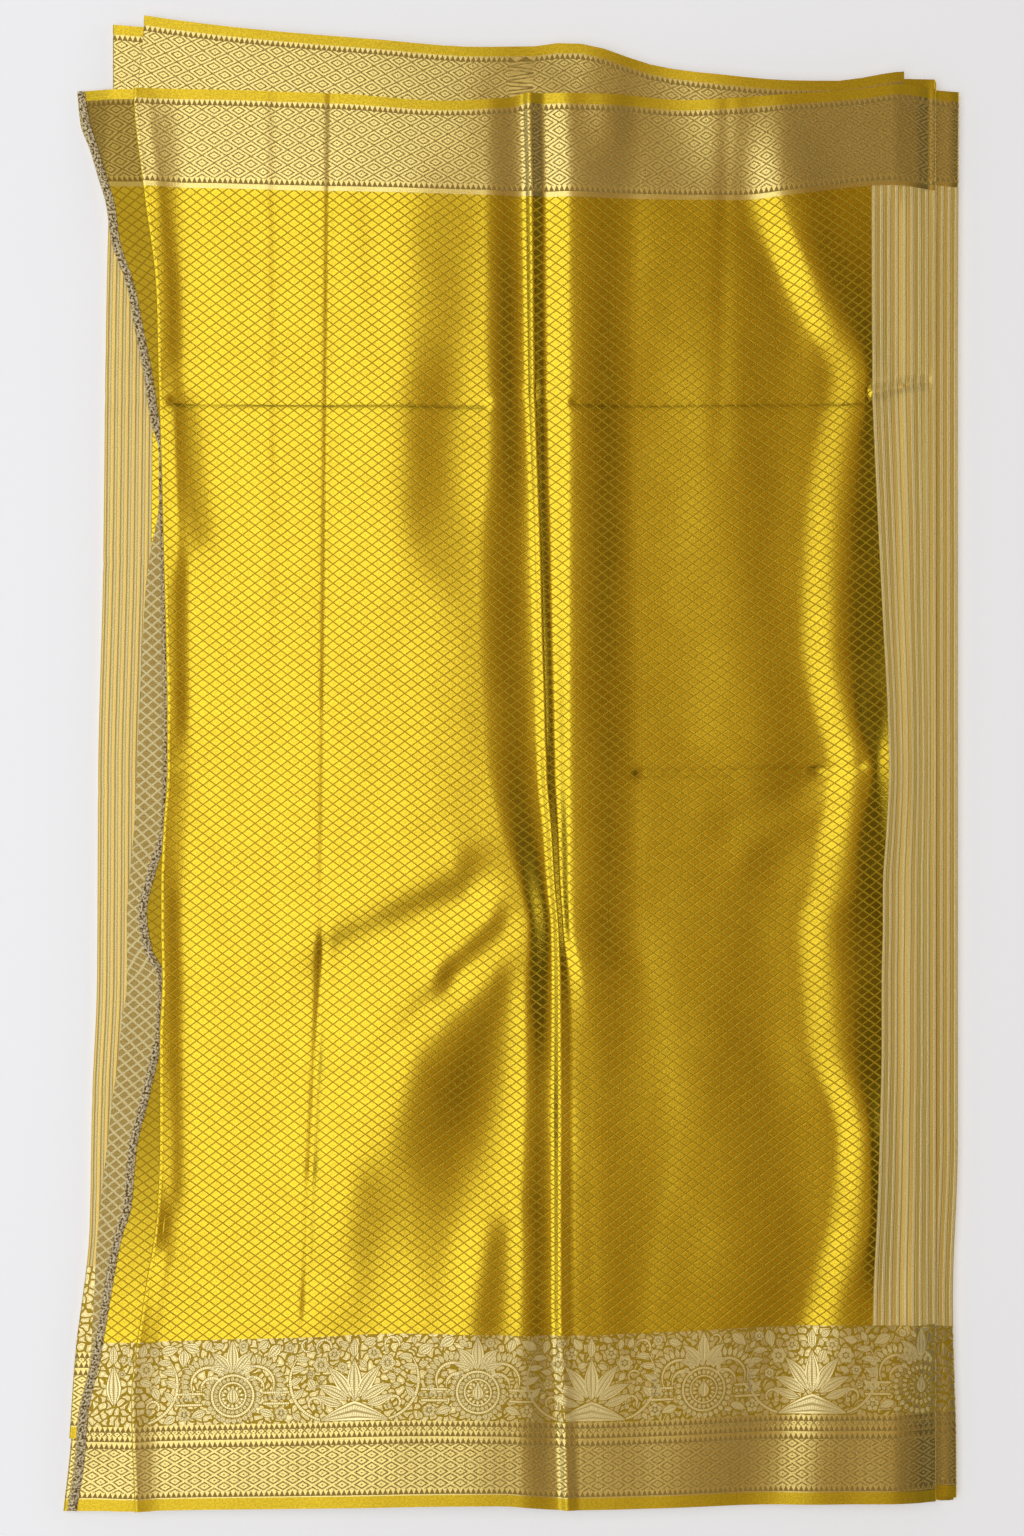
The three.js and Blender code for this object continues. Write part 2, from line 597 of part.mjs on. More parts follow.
addPiece("front_field", frontPiece({ ...upToStripes, ...fieldSpan }), fieldSilk);
addPiece("front_top_border", frontPiece({ ...acrossFront, firstRow: ROW_ZARI, lastRow: ROW_TOP }), zariSilk);
addPiece("front_bottom_border", frontPiece({ ...acrossFront, firstRow: 0, lastRow: ROW_FLORAL }), zariSilk.clone());
addPiece("front_stripes", frontPiece({ ...stripesOnly, ...fieldSpan }), stripedSilk);
addPiece("end_strip", endStrip(), fieldSilk.clone());
addPiece("end_turnover", endTurnover(), reverseSilk);
addPiece("second_layer", secondLayer(), zariSilk.clone());
addPiece("left_under_fold", leftUnderFold(), stripedSilk.clone());
addPiece("right_under_fold", rightUnderFold(), stripedSilk.clone());
addPiece("hidden_layers", hiddenLayers(), layeredSilk);

export default group;
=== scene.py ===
"""A folded brocade saree, lying face up: silk, zari borders, woven flowers, cloth end and light."""

import functools
import math

import bpy
import numpy as np
from bpy.props import FloatProperty, FloatVectorProperty, IntProperty, PointerProperty
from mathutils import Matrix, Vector


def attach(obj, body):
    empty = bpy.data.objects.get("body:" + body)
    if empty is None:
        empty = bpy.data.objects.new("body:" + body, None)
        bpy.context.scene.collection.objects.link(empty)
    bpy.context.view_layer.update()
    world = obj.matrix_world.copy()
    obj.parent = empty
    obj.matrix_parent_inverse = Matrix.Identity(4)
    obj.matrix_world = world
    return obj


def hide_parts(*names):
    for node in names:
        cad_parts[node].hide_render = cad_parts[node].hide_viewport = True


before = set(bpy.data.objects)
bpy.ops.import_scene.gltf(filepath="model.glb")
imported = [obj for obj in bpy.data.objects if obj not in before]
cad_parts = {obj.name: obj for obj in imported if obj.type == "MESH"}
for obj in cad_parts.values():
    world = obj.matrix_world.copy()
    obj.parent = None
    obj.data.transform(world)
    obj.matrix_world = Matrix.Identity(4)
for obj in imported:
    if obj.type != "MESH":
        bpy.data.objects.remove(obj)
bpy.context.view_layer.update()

bl_info = {
    "name": "Folded brocade saree",
    "version": (1, 0, 0),
    "blender": (4, 5, 0),
    "location": "3D View > Sidebar > Saree",
    "description": "Builds a folded silk saree with zari borders, woven flowers and its cloth end",
    "category": "Object",
}

MM = 0.001
WIDTH = 1150.0

# Heights and places shared with the solids, in millimetres.
FRONT_Z = 10.5
END_Z = 9.05
TURNOVER_Z = 9.95
FRONT_FOLD = 346.0
FRONT_TUCK = 26.0
FRONT_FOLD_RADIUS = 1.05
FOLD_FLAT_X = FRONT_FOLD - 1.45
STEP_X = 312.0
STEP_Z = 2.2
CREASE_LIP = 1.7
CREASE_CLEAR = 20.0
ROLL = 1.3
CREASE_TUCK = 12.0
CREASE_RADIUS = 0.7
VALLEY_RUN = 5.0
VALLEY_DROP = 2.0
GUTTER_SHARE = 0.35
FOOT_Z = 2.2
HOLLOW_Z = 3.0
END_SLOPE = 0.25

# The relief of the front, a row for each section across it: x of each fold line, z of each crest.
SECTION_KEYS = ("y", "crease", "hill", "crest", "ledge", "hollow", "foot", "band", "stripes",
                "hill_z", "crest_z", "gutter_z", "ledge_z", "band_z")
SECTIONS = np.array([
    (-605, -304, 8, 46, 73, 114, 211, 247, 293, 6, 5, 3.5, 3.5, 3),
    (-516, -307, 7, 43, 71, 114, 221, 256, 293, 8, 6, 4.5, 4.2, 4.5),
    (-435, -297, 7, 40, 70, 114, 236, 272, 294, 9, 6.5, 5, 4.5, 5.5),
    (-362, -286, 7, 40, 68, 124, 257, 291, 297, 10, 7, 5.4, 5, 6),
    (-304, -284, 9, 40, 67, 133, 262, 290, 299, 10, 7, 5.4, 5, 6.5),
    (-224, -284, 11, 40, 66, 127, 237, 272, 301, 10, 7, 5.4, 5.4, 6),
    (-176, -282, 12, 40, 61, 115, 233, 269, 301, 10.5, 7, 5.2, 6, 6),
    (-132, -283, 14, 39, 50, 105, 230, 266, 302, 11, 7, 5, 7.5, 6),
    (-99, -283, 7, 36, 49, 105, 240, 276, 302, 11, 7, 5, 8, 6),
    (-52, -281, -8, 33, 49, 105, 248, 284, 305, 11, 7, 5, 8.5, 6.5),
    (-6, -278, -18, 29, 49, 105, 256, 291, 307, 11, 7, 5, 8.5, 6.5),
    (42, -278, -22, 28, 49, 105, 242, 278, 306, 11, 7, 5, 8.5, 6.5),
    (100, -279, -24, 26, 49, 104, 232, 268, 303, 11, 7, 5, 8.5, 6),
    (176, -281, -25, 24, 49, 103, 234, 270, 299, 11, 7, 5, 8.5, 6),
    (254, -283, -18, 21, 49, 102, 242, 278, 295, 11, 7, 5, 8.5, 6),
    (311, -285, -19, 19, 49, 103, 254, 287, 293, 11, 7, 5, 8.5, 6),
    (384, -287, -20, 18, 49, 104, 221, 256, 293, 10.5, 7, 5, 8.5, 5.5),
    (465, -297, -20, 17, 49, 105, 185, 221, 293, 9, 7, 4.5, 8, 4.5),
    (543, -305, -18, 15, 49, 105, 191, 226, 293, 6.5, 6, 4, 6.5, 4),
    (600, -300, 8, 47, 65, 120, 190, 226, 293, 4, 4.5, 3, 4.5, 2),
], dtype=float)

# Bands where the front turns down towards the right or the lower right: x and y of both ends of the
# middle line, the slope on it and the width at both ends. A negative slope turns up instead.
TURNS = (
    (-41, -96, -144, -142, 0.32, 15, 17),
    (-11, -129, -52, -170, 0.27, 9, 9),
    (-52, -170, -131, -249, 0.12, 9, 12),
    (-8, -180, -48, -262, 0.13, 9, 44),
    (-48, -262, -82, -350, 0.13, 44, 50),
    (-120, -340, -126, -440, 0.07, 20, 22),
    (-10, -385, -18, -451, 0.16, 12, 15),
    (-262, 280, -250, 190, 0.15, 19, 21),
    (-279, 520, -274, 343, 0.13, 15, 15),
    (-268, 157, -268, 35, 0.14, 9, 9),
    (-276, -110, -268, -350, 0.1, 9, 10),
    (-284, -392, -170, -432, 0.14, 20, 20),
    (-190, 540, -187, 100, 0.07, 6, 8),
    (-122, 457, -112, 330, 0.06, 10, 12),
    (-64, 440, -58, 170, 0.07, 34, 30),
    (-72, 290, -76, 220, 0.07, 30, 30),
    (318, 452, 321, -452, -0.22, 8, 8),
    (208, 480, 242, 350, -0.09, 16, 14),
    (75, -150, 77, -450, 0.04, 22, 24),
    (150, 300, 166, 40, -0.05, 36, 40),
    (188, -60, 262, -18, 0.09, 14, 8),
    (130, -250, 170, -440, -0.03, 30, 30),
    (21, 550, 22, 300, 0.17, 5, 5),
    (22, 300, 28, 20, 0.17, 5, 5),
    (262, -10, 246, -70, -0.07, 22, 20),
    (297, 50, 297, -70, -0.12, 8, 8),
    (300, -455, 292, -600, -0.13, 30, 30),
    (205, 500, 226, 400, -0.045, 22, 22),
    (232, 330, 234, 150, -0.045, 22, 22),
    (244, 100, 256, 0, -0.045, 22, 22),
    (228, -90, 222, -220, -0.045, 22, 22),
    (236, -250, 258, -390, -0.045, 22, 22),
    (250, -470, 232, -600, -0.12, 34, 34),
    (146, 600, 160, 505, -0.11, 34, 30),
    (70, 600, 70, 520, -0.12, 14, 14),
)

# Fine pressed creases: x and y of both ends, the height, which is negative for a groove, and the width
# at both ends.
CREASES = (
    (-145, 560, -150, 51, -0.9, 3, 3),
    (-150, 51, -152, -150, -0.6, 3, 3.5),
    (-152, -150, -161, -327, -1.1, 3.5, 4),
    (-161, -327, -166, -447, -0.9, 4, 3),
    (-192, 540, -190, 250, -0.4, 5, 4),
    (-190, 250, -192, -200, -0.3, 5, 6),
    (-274, 294, -20, 291, -1.6, 3.4, 3.8),
    (52, 292, 292, 294, -1.4, 3.2, 3.6),
    (105, -8, 250, -6, -1.5, 3.4, 3.4),
    (250, -6, 284, -2, -1.4, 3.4, 4),
    (-276, -2, -215, 0, 0.4, 5, 5),
    (176, 545, 170, 250, -0.35, 5, 8),
    (300, -286, 344, -288, -0.7, 4, 4),
    (300, -366, 344, -368, -0.7, 4, 4),
    (296, 301, 344, 313, -2.8, 4.6, 4),
    (304, 331, 344, 328, -1.5, 3, 3),
    (340.5, 560, 341.5, -452, -2.6, 3.4, 3.4),
)

# The creases of the folds that show past both sides of the front, in the same terms.
LAYER_CREASES = (
    (-345, 336, -290, 333, -1.6, 4, 4),
    (-345, 296, -290, 294, -1.4, 3.6, 3.6),
    (-345, 160, -290, 166, -1.8, 4, 4.4),
    (-350, -22, -290, -19, -1.5, 3.6, 3.6),
    (-350, -272, -290, -276, -1.4, 4, 4),
    (349.5, 540, 349.5, 340, -1.5, 2.2, 2.2),
    (353, 340, 350, 300, -1.5, 2.2, 2.2),
    (349.5, 300, 349.5, -560, -1.5, 2.2, 2.2),
)

# Edges of the cloth, and lines between its zones. Those along the width of the bundle hold x, then y
# at each; the two folds at its sides hold y, then x at each.
BOTTOM_EDGE = ((-364, -304, -158, -8, 46, 182, 346), (-609, -607, -604, -601, -605, -602, -599))
FLORAL_LINE = ((-339, -174, -80, 41, 292, 346), (-471, -465, -461, -463, -455, -455))
ZARI_LINE = ((-306, 14, 182, 311, 346), (469, 459, 457, 469, 465))
TOP_EDGE = ((-353, -306, -145, -49, -2, 15, 89, 144, 236, 285, 316, 346),
            (548, 548, 543, 536, 539, 543, 542, 538, 543, 547, 551, 548))
SECOND_EDGE = ((-302, -276, -211, -112, -24, 21, 47, 67, 114, 154, 236, 263, 323, 338, 342),
               (609, 605, 597, 588, 581, 582, 585, 582, 568, 561, 554, 554, 562, 560, 556))
LEFT_FOLD = ((-609, -554, -484, -377, -275, -176, -6, 161, 334, 434, 549, 601),
             (-364, -358, -353, -341, -339, -335, -334, -330, -328, -326, -322, -322))
RIGHT_FOLD = ((-597, -565, -435, -309, 311, 546), (362, 362, 359, 363, 363, 364))
# The cloth end: y, then x of its outer fold and of its cut edge.
CLOTH_END = np.array([
    (-605, -360, -352), (-567, -354, -346), (-530, -351, -343), (-484, -341, -333), (-384, -335, -315),
    (-362, -333, -308), (-311, -327, -303), (-275, -323, -294), (-240, -318, -286), (-217, -316, -281),
    (-176, -311, -279), (-150, -311, -291), (-122, -311, -295), (-85, -308, -287), (-50, -305, -277),
    (45, -301, -274), (103, -298, -275), (150, -295, -276), (176, -291, -277), (212, -285, -279),
    (253, -285, -280), (279, -292, -285), (318, -298, -291), (349, -304, -297), (388, -311, -305),
    (425, -324, -317), (454, -328, -321), (477, -335, -328), (500, -342, -335), (521, -350, -342),
    (548, -353, -347),
], dtype=float)

# The lower layers from the second to the eighth: z at the left and at the right, y of the upper
# selvedge at both, y of the lower one at both, and how much of the relief above each one follows.
LAYERS = (
    (8.45, 8.4, 609, 556, -541, -596, 0.92),
    (7.8, 7.5, 609, 546, -541, -597, 0.8),
    (7.2, 5.2, 601, 546, -549, -597, 0.68),
    (5.2, 4.4, 601, 543, -549, -600, 0.55),
    (4.3, 2.6, 541, 543, -609, -600, 0.4),
    (1.3, 1.7, 541, 542, -609, -601, 0.2),
    (0.3, 0.3, 541, 542, -608, -601, 0.0),
)
LAYER_INSET = 1.5
LAYER_ENDS = (-322.0, 363.0)
# About where a layer's selvedges lie, to start the search for its points.
LAYER_SPAN = (-600.0, 560.0)
# Columns of a layer that lie past this x, at either side, are striped.
STRIPED_PAST = 292.0
TUCK_Z = 8.4
LIP_RETURN = 6.0
END_FOLD_RADIUS = 0.45
# The rows of the cloth end continue those that the front has at this x.
END_ROW_X = -330.0

# Threads shift towards the stripes from the first x, and by nothing where the stripes start at the second.
SHIFT_FROM = 105.0
STRIPES_X = 297.0

# Spacing of the points along the width, and the stretches of the front with closer ones.
FRONT_PITCH = 8.6
FRONT_CLOSE = ((584, 620), (884, 920))
LAYER_PITCH = 8.4
END_PITCH = 5.0

# Zones across the width, from the lower selvedge to the upper one.
SELVEDGE_TOP = 9.5
BAND_TOP = 56.0
EDGING_TOP = 70.0
FLORAL_TOP = 140.0
FIELD_TOP = 1072.0
UPPER_BAND_TOP = 1142.0
ZONE_LINES = (0.0, SELVEDGE_TOP, BAND_TOP, EDGING_TOP, FLORAL_TOP, FIELD_TOP, UPPER_BAND_TOP, WIDTH)
ZONE_NAMES = ("selvedge", "lower_band", "edging", "floral_ground", "field", "upper_band", "selvedge")
# end_field and end_band are the cloth end's copies of the field and upper band with painted shade.
MATERIAL_NAMES = ("selvedge", "lower_band", "edging", "floral_ground", "field", "upper_band", "stripes",
                  "reverse", "end_field", "end_band")

# Loose threads and stitches: the length and radius of one in metres, its lean in radians and the seed.
FRAYED = (0.0042, 0.00011, 1.2, 4)
STITCHES = (0.0026, 0.00016, 0.22, 9)
THREAD_SIDES = 5
# Where they lie, in millimetres: y of the cut edge's ends, then how far in from the edge and above the
# middle of the cloth.
CUT_SPAN = (-604, 546)
CUT_POINTS = 240
FRAY_INSET = 1.5
FRAY_RISE = 1.25
STITCH_INSET = 3.2
STITCH_RISE = 0.2

# The woven figures keep this far from a free edge and from a fold or another cloth.
FLOWER_INSET = 1.5
FLOWER_GAP = 0.4

# Soft lights: name, place, target, size, watts and colour. The key leaves the right-facing silk in shade.
LIGHTS = (
    ("key", (-1.6, 0.0, 3.2), (-1.6, 0.0, 0.0), (3.0, 5.2), 81.0, (0.97, 1.0, 1.05)),
    ("near_card", (0.3, 0.0, 3.2), (0.3, 0.0, 0.0), (0.8, 5.2), 5.6, (1.0, 0.68, 0.26)),
    ("far_card", (1.05, 0.0, 3.2), (1.05, 0.0, 0.0), (0.7, 5.2), 3.6, (1.0, 0.62, 0.22)),
    ("low_right", (4.6, 0.6, 2.0), (0.0, 0.0, 0.0), (1.2, 4.4), 28.0, (1.0, 0.98, 0.95)),
)
FLOOR_REACH = 14.0
FLOOR_COLOUR = (0.87, 0.885, 0.92, 1)
FLOOR_GLOW = (0.97, 0.98, 1.0, 1)
FLOOR_GLOW_STRENGTH = 0.285
HORIZON_COLOUR = (0.8, 0.81, 0.84, 1)
ZENITH_COLOUR = (0.05, 0.032, 0.012, 1)

CAMERA_LENS = 50.0
CAMERA_SENSOR = 36.0
VIEW_HEIGHT = 1246.0
VIEW_CENTRE = (1.6, -3.6, 12.0)


# Sizes and colours that a user would change

class SareeSizes(bpy.types.PropertyGroup):
    """Sizes of the cloth and of its weave."""

    cloth: FloatProperty(name="Cloth", description="Thickness of the silk", default=0.0005,
                         subtype="DISTANCE", unit="LENGTH")
    cell_width: FloatProperty(name="Cell width", description="Width of one lattice cell of the field",
                              default=0.0106, subtype="DISTANCE", unit="LENGTH")
    cell_height: FloatProperty(name="Cell height", description="Height of one lattice cell of the field",
                               default=0.0078, subtype="DISTANCE", unit="LENGTH")
    stripe_pitch: FloatProperty(name="Stripe pitch", description="Distance between two cream stripes",
                                default=0.0057, subtype="DISTANCE", unit="LENGTH")
    inlay: FloatProperty(name="Inlay", description="How far the woven flowers stand proud of the ground",
                         default=0.00018, subtype="DISTANCE", unit="LENGTH")
    stitch_spacing: FloatProperty(name="Stitch spacing",
                                  description="Distance between stitches at the crease",
                                  default=0.0072, subtype="DISTANCE", unit="LENGTH")
    frayed_threads: IntProperty(name="Frayed threads", description="Loose threads along the cut edge",
                                default=1500, min=0)


class SareeColours(bpy.types.PropertyGroup):
    """Colours of the silk and of the metal thread."""

    field: FloatVectorProperty(name="Field", description="Golden yellow of the field", subtype="COLOR",
                               default=(0.84, 0.605, 0.036))
    ochre: FloatVectorProperty(name="Ochre", description="Ochre ground between the woven threads",
                               subtype="COLOR", default=(0.42, 0.25, 0.008))
    floral: FloatVectorProperty(name="Floral ground", description="Ochre behind the woven flowers",
                                subtype="COLOR", default=(0.5, 0.32, 0.012))
    groove: FloatVectorProperty(name="Groove", description="Brown ground between the zari threads",
                                subtype="COLOR", default=(0.27, 0.145, 0.012))
    # Painted shade: this olive darkens the cloth end above its lower border, standing in for the shade it
    # lies in.
    shade: FloatVectorProperty(name="Shade", description="Olive of the dull cloth end", subtype="COLOR",
                               default=(0.2, 0.115, 0.004))
    zari: FloatVectorProperty(name="Zari", description="Pale gold metal thread", subtype="COLOR",
                              default=(0.88, 0.7, 0.23))
    selvedge: FloatVectorProperty(name="Selvedge", description="Plain gold of the selvedges",
                                  subtype="COLOR", default=(0.82, 0.57, 0.03))
    stripe_ground: FloatVectorProperty(name="Stripe ground", description="Tan gold between the stripes",
                                       subtype="COLOR", default=(0.97, 0.7, 0.2))
    cream: FloatVectorProperty(name="Cream", description="Cream thread", subtype="COLOR",
                               default=(1.0, 0.86, 0.43))
    reverse: FloatVectorProperty(name="Reverse", description="Tan of the reverse side", subtype="COLOR",
                                 default=(0.62, 0.43, 0.12))
    silver: FloatVectorProperty(name="Silver", description="Silver thread of the cut edge", subtype="COLOR",
                                default=(0.86, 0.74, 0.47))


# Curves and outlines

def mix(a, b, t):
    return a + (b - a) * t


def ease(t):
    return t * t * (3 - 2 * t)


def smooth_line(xs, ys):
    """A curve through the points that never overshoots them."""
    xs, ys = np.asarray(xs, float), np.asarray(ys, float)
    steps = np.diff(xs)
    slopes = np.diff(ys) / steps
    tangents = np.zeros(len(xs))
    tangents[0], tangents[-1] = slopes[0], slopes[-1]
    same = slopes[:-1] * slopes[1:] > 0
    means = 2 * slopes[:-1] * slopes[1:] / np.where(same, slopes[:-1] + slopes[1:], 1)
    tangents[1:-1] = np.where(same, means, 0)

    def curve(x):
        x = np.clip(x, xs[0], xs[-1])
        i = np.clip(np.searchsorted(xs, x) - 1, 0, len(xs) - 2)
        t = (x - xs[i]) / steps[i]
        rise = (3 * t**2 - 2 * t**3) * (ys[i + 1] - ys[i])
        lean = (t**3 - 2 * t**2 + t) * tangents[i] + (t**3 - t**2) * tangents[i + 1]
        return ys[i] + rise + lean * steps[i]

    return curve


SECTION = {key: smooth_line(SECTIONS[:, 0], SECTIONS[:, i]) for i, key in enumerate(SECTION_KEYS)}
bottom_edge = smooth_line(*BOTTOM_EDGE)
floral_line = smooth_line(*FLORAL_LINE)
zari_line = smooth_line(*ZARI_LINE)
top_edge = smooth_line(*TOP_EDGE)
second_edge = smooth_line(*SECOND_EDGE)
left_fold = smooth_line(*LEFT_FOLD)
right_fold = smooth_line(*RIGHT_FOLD)
end_outer = smooth_line(CLOTH_END[:, 0], CLOTH_END[:, 1])
end_inner = smooth_line(CLOTH_END[:, 0], CLOTH_END[:, 2])


# Relief of the front

def turned_bands(x, y, bands):
    """Small slopes across a line that fade to both sides and round its ends."""
    z = np.zeros_like(x)
    for x0, y0, x1, y1, slope, width0, width1 in bands:
        dx, dy = x1 - x0, y1 - y0
        length = math.hypot(dx, dy)
        along = ((x - x0) * dx + (y - y0) * dy) / length
        across = ((y - y0) * dx - (x - x0) * dy) / length
        width = mix(width0, width1, np.clip(along / length, 0, 1))
        beyond = np.maximum(np.maximum(-along, along - length), 0)
        z -= slope * across * np.exp(-((across / width) ** 2 + (beyond / width) ** 2) / 2)
    return z


def line_folds(x, y, folds):
    """Heights of straight folds with round ends."""
    z = np.zeros_like(x)
    for x0, y0, x1, y1, height, width0, width1 in folds:
        dx, dy = x1 - x0, y1 - y0
        t = np.clip(((x - x0) * dx + (y - y0) * dy) / (dx * dx + dy * dy), 0, 1)
        away = np.hypot(x - x0 - dx * t, y - y0 - dy * t)
        z += height * np.exp(-((away / mix(width0, width1, t)) ** 2))
    return z


def waves(x, y):
    """Slow unevenness of silk that has lain folded."""
    z = 0.22 * np.sin(x / 31 + 0.7 * np.sin(y / 83)) * np.sin(y / 127 + 1.3)
    z += 0.13 * np.sin(x / 17 - y / 61 + 2.1 * np.sin(x / 97 + 0.4))
    return z + 0.05 * np.sin(x / 7.3 + y / 41) * np.sin(y / 19 - x / 53)


def relief(x, y, fine=1.0):
    s = {key: SECTION[key](y) for key in SECTION_KEYS[1:]}
    gutter = mix(s["crest"], s["ledge"], GUTTER_SHARE)
    zero = np.zeros_like(x)
    knots = (
        (s["crease"], zero, True),
        (s["hill"], s["hill_z"], True),
        (s["crest"] - VALLEY_RUN, s["crest_z"] - VALLEY_DROP, False),
        (s["crest"], s["crest_z"], False),
        (gutter, s["gutter_z"], True),
        (s["ledge"], s["ledge_z"], True),
        (s["hollow"], zero + HOLLOW_Z, True),
        (s["foot"], zero + FOOT_Z, True),
        (s["band"], s["band_z"], True),
        (zero + STEP_X, zero + STEP_Z, False),
        (zero + FOLD_FLAT_X, zero, False),
    )
    z = np.zeros_like(x)
    for (ax, az, soft), (bx, bz, _) in zip(knots[:-1], knots[1:]):
        inside = (x >= ax) & (x < bx)
        t = np.clip((x - ax) / (bx - ax), 0, 1)
        z = np.where(inside, mix(az, bz, ease(t) if soft else t), z)
    within = np.clip((x - s["crease"]) / 12, 0, 1) * np.clip((FOLD_FLAT_X - x) / 12, 0, 1)
    folds = turned_bands(x, y, TURNS)
    return z + within * (folds + fine * (line_folds(x, y, CREASES) + waves(x, y)))


def puckers(x, y):
    """Small gathers beside the stitched crease."""
    away = x - SECTION["crease"](y)
    fade = np.exp(-((away - 4) / 7) ** 2) * (away > 0)
    return 0.28 * fade * np.sin(y / 2.1 + 1.7 * np.sin(y / 9.7)) * (0.5 + 0.5 * np.sin(y / 23))


def front_height(x, y):
    away = x - SECTION["crease"](y)
    lip = CREASE_LIP * np.clip(1 - away / CREASE_CLEAR, 0, 1) ** 1.5
    reach = 30 + 8 * np.sin(y / 71 + 0.4)
    lip += ROLL * np.clip(1 - away / reach, 0, 1) ** 1.3
    return FRONT_Z + lip + relief(x, y) + puckers(x, y)


def front_row(x, v):
    """y of the thread at v millimetres from the lower selvedge."""
    low = mix(bottom_edge(x), floral_line(x), v / FLORAL_TOP)
    middle = mix(floral_line(x), zari_line(x), (v - FLORAL_TOP) / (FIELD_TOP - FLORAL_TOP))
    high = mix(zari_line(x), top_edge(x), (v - FIELD_TOP) / (WIDTH - FIELD_TOP))
    return np.where(v < FLORAL_TOP, low, np.where(v < FIELD_TOP, middle, high))


def thread_shift(x, y):
    """How far the lengthwise threads lean away from straight lines, so that stripes follow the cloth."""
    s = SECTION["stripes"](y)
    share = np.clip((x - SHIFT_FROM) / (s - SHIFT_FROM), 0, 1)
    past = np.clip((FRONT_FOLD - x) / (FRONT_FOLD - s), 0, 1)
    return (s - STRIPES_X) * np.where(x < s, ease(share), past)


# Nets of points and their meshes

def stepped(lines, pitch, fine=()):
    """Values from the first line to the last, with every line among them, closer in the fine stretches."""
    values = []
    ends = sorted([*lines, *(edge for stretch in fine for edge in stretch)])
    for a, b in zip(ends[:-1], ends[1:]):
        step = pitch * 0.3 if (a, b) in fine else pitch
        count = max(2, int(round((b - a) / step)))
        values += list(np.linspace(a, b, count, endpoint=False))
    return np.array(values + [ends[-1]])


def net_normals(points):
    across = np.gradient(points, axis=1)
    along = np.gradient(points, axis=0)
    normals = np.cross(across, along)
    return normals / np.maximum(np.linalg.norm(normals, axis=2, keepdims=True), 1e-9)


def wall_faces(rows, columns, start=0):
    """Quads of the face side, of the reverse side and of the rim of a closed cloth wall."""
    index = np.arange(rows * columns).reshape(rows, columns) + start
    under = index + rows * columns
    a, b = index[:-1, :-1].ravel(), index[:-1, 1:].ravel()
    c, d = index[1:, 1:].ravel(), index[1:, :-1].ravel()
    face = np.stack((a, b, c, d), axis=1)
    size = rows * columns
    reverse = np.stack((d + size, c + size, b + size, a + size), axis=1)
    loop = np.concatenate((index[0, :-1], index[:-1, -1], index[-1, :0:-1], index[:0:-1, 0]))
    low = np.concatenate((under[0, :-1], under[:-1, -1], under[-1, :0:-1], under[:0:-1, 0]))
    rim = np.stack((low, np.roll(low, -1), np.roll(loop, -1), loop), axis=1)
    return face, reverse, rim


def mesh_object(name, points, faces, uvs, zones, materials):
    mesh = bpy.data.meshes.new(name)
    mesh.from_pydata((points * MM).tolist(), [], faces.tolist())
    layer = mesh.uv_layers.new(name="UVMap")
    layer.data.foreach_set("uv", (uvs[faces.ravel()] * MM).astype(np.float32).ravel())
    for material in materials:
        mesh.materials.append(material)
    mesh.polygons.foreach_set("material_index", zones.astype(np.int32))
    mesh.polygons.foreach_set("use_smooth", np.ones(len(faces), dtype=bool))
    mesh.update()
    mesh.set_sharp_from_angle(angle=math.radians(65))
    piece = bpy.data.objects.new(name, mesh)
    bpy.context.scene.collection.objects.link(piece)
    return piece


def cloth_object(name, points, uvs, face_zones, reverse_zones, materials):
    """A thin closed sheet of cloth around a net of points."""
    thickness = bpy.context.scene.saree_sizes.cloth / MM
    normals = net_normals(points)
    rows, columns = points.shape[:2]
    outer = (points + normals * thickness / 2).reshape(-1, 3)
    inner = (points - normals * thickness / 2).reshape(-1, 3)
    face, reverse, rim = wall_faces(rows, columns)
    zones = np.concatenate((face_zones.ravel(), reverse_zones.ravel(), np.full(len(rim), face_zones[0, 0])))
    flat_uvs = np.concatenate((uvs.reshape(-1, 2), uvs.reshape(-1, 2)))
    return mesh_object(name, np.concatenate((outer, inner)), np.concatenate((face, reverse, rim)),
                       flat_uvs, zones, materials)


def uv_net(u, v):
    return np.stack((u, np.broadcast_to(v[:, None], u.shape)), axis=2)


def zone_of(u_is_striped, v):
    """Material index of each face from the middle of its row, and from where the stripes run."""
    middle = (v[:-1] + v[1:]) / 2
    row_zone = np.clip(np.searchsorted(ZONE_LINES, middle, side="right") - 1, 0, len(ZONE_NAMES) - 1)
    names = np.array([MATERIAL_NAMES.index(name) for name in ZONE_NAMES])
    zones = np.broadcast_to(names[row_zone][:, None], (len(middle), u_is_striped.shape[1])).copy()
    is_field = zones == MATERIAL_NAMES.index("field")
    zones[is_field & u_is_striped] = MATERIAL_NAMES.index("stripes")
    return zones


def fold_arc(count):
    """Angles of a half turn, without its two ends."""
    return np.linspace(math.pi / 2, -math.pi / 2, count + 2)[1:-1]


# Front panel

FRONT_INTERVALS = (("crease", "hill", 138), ("hill", "valley", 13), ("valley", "crest", 4),
                   ("crest", "gutter", 5), ("gutter", "ledge", 8), ("ledge", "hollow", 18),
                   ("hollow", "foot", 36), ("foot", "band", 12), ("band", "stripes", 8),
                   ("stripes", "fold", 16))


def front_columns(y):
    """x of all the columns of the front at each y, the last axis running across the panel."""
    s = {key: SECTION[key](y) for key in SECTION_KEYS[1:9]}
    s["crease"] = s["crease"] + CREASE_RADIUS
    s["valley"] = s["crest"] - VALLEY_RUN
    s["gutter"] = mix(s["crest"], s["ledge"], GUTTER_SHARE)
    s["fold"] = np.full_like(y, FRONT_FOLD - FRONT_FOLD_RADIUS)
    parts = []
    for start, end, count in FRONT_INTERVALS:
        t = np.linspace(0, 1, count, endpoint=False)
        parts.append(mix(s[start][..., None], s[end][..., None], t))
    parts.append(s["fold"][..., None])
    return np.concatenate(parts, axis=-1)


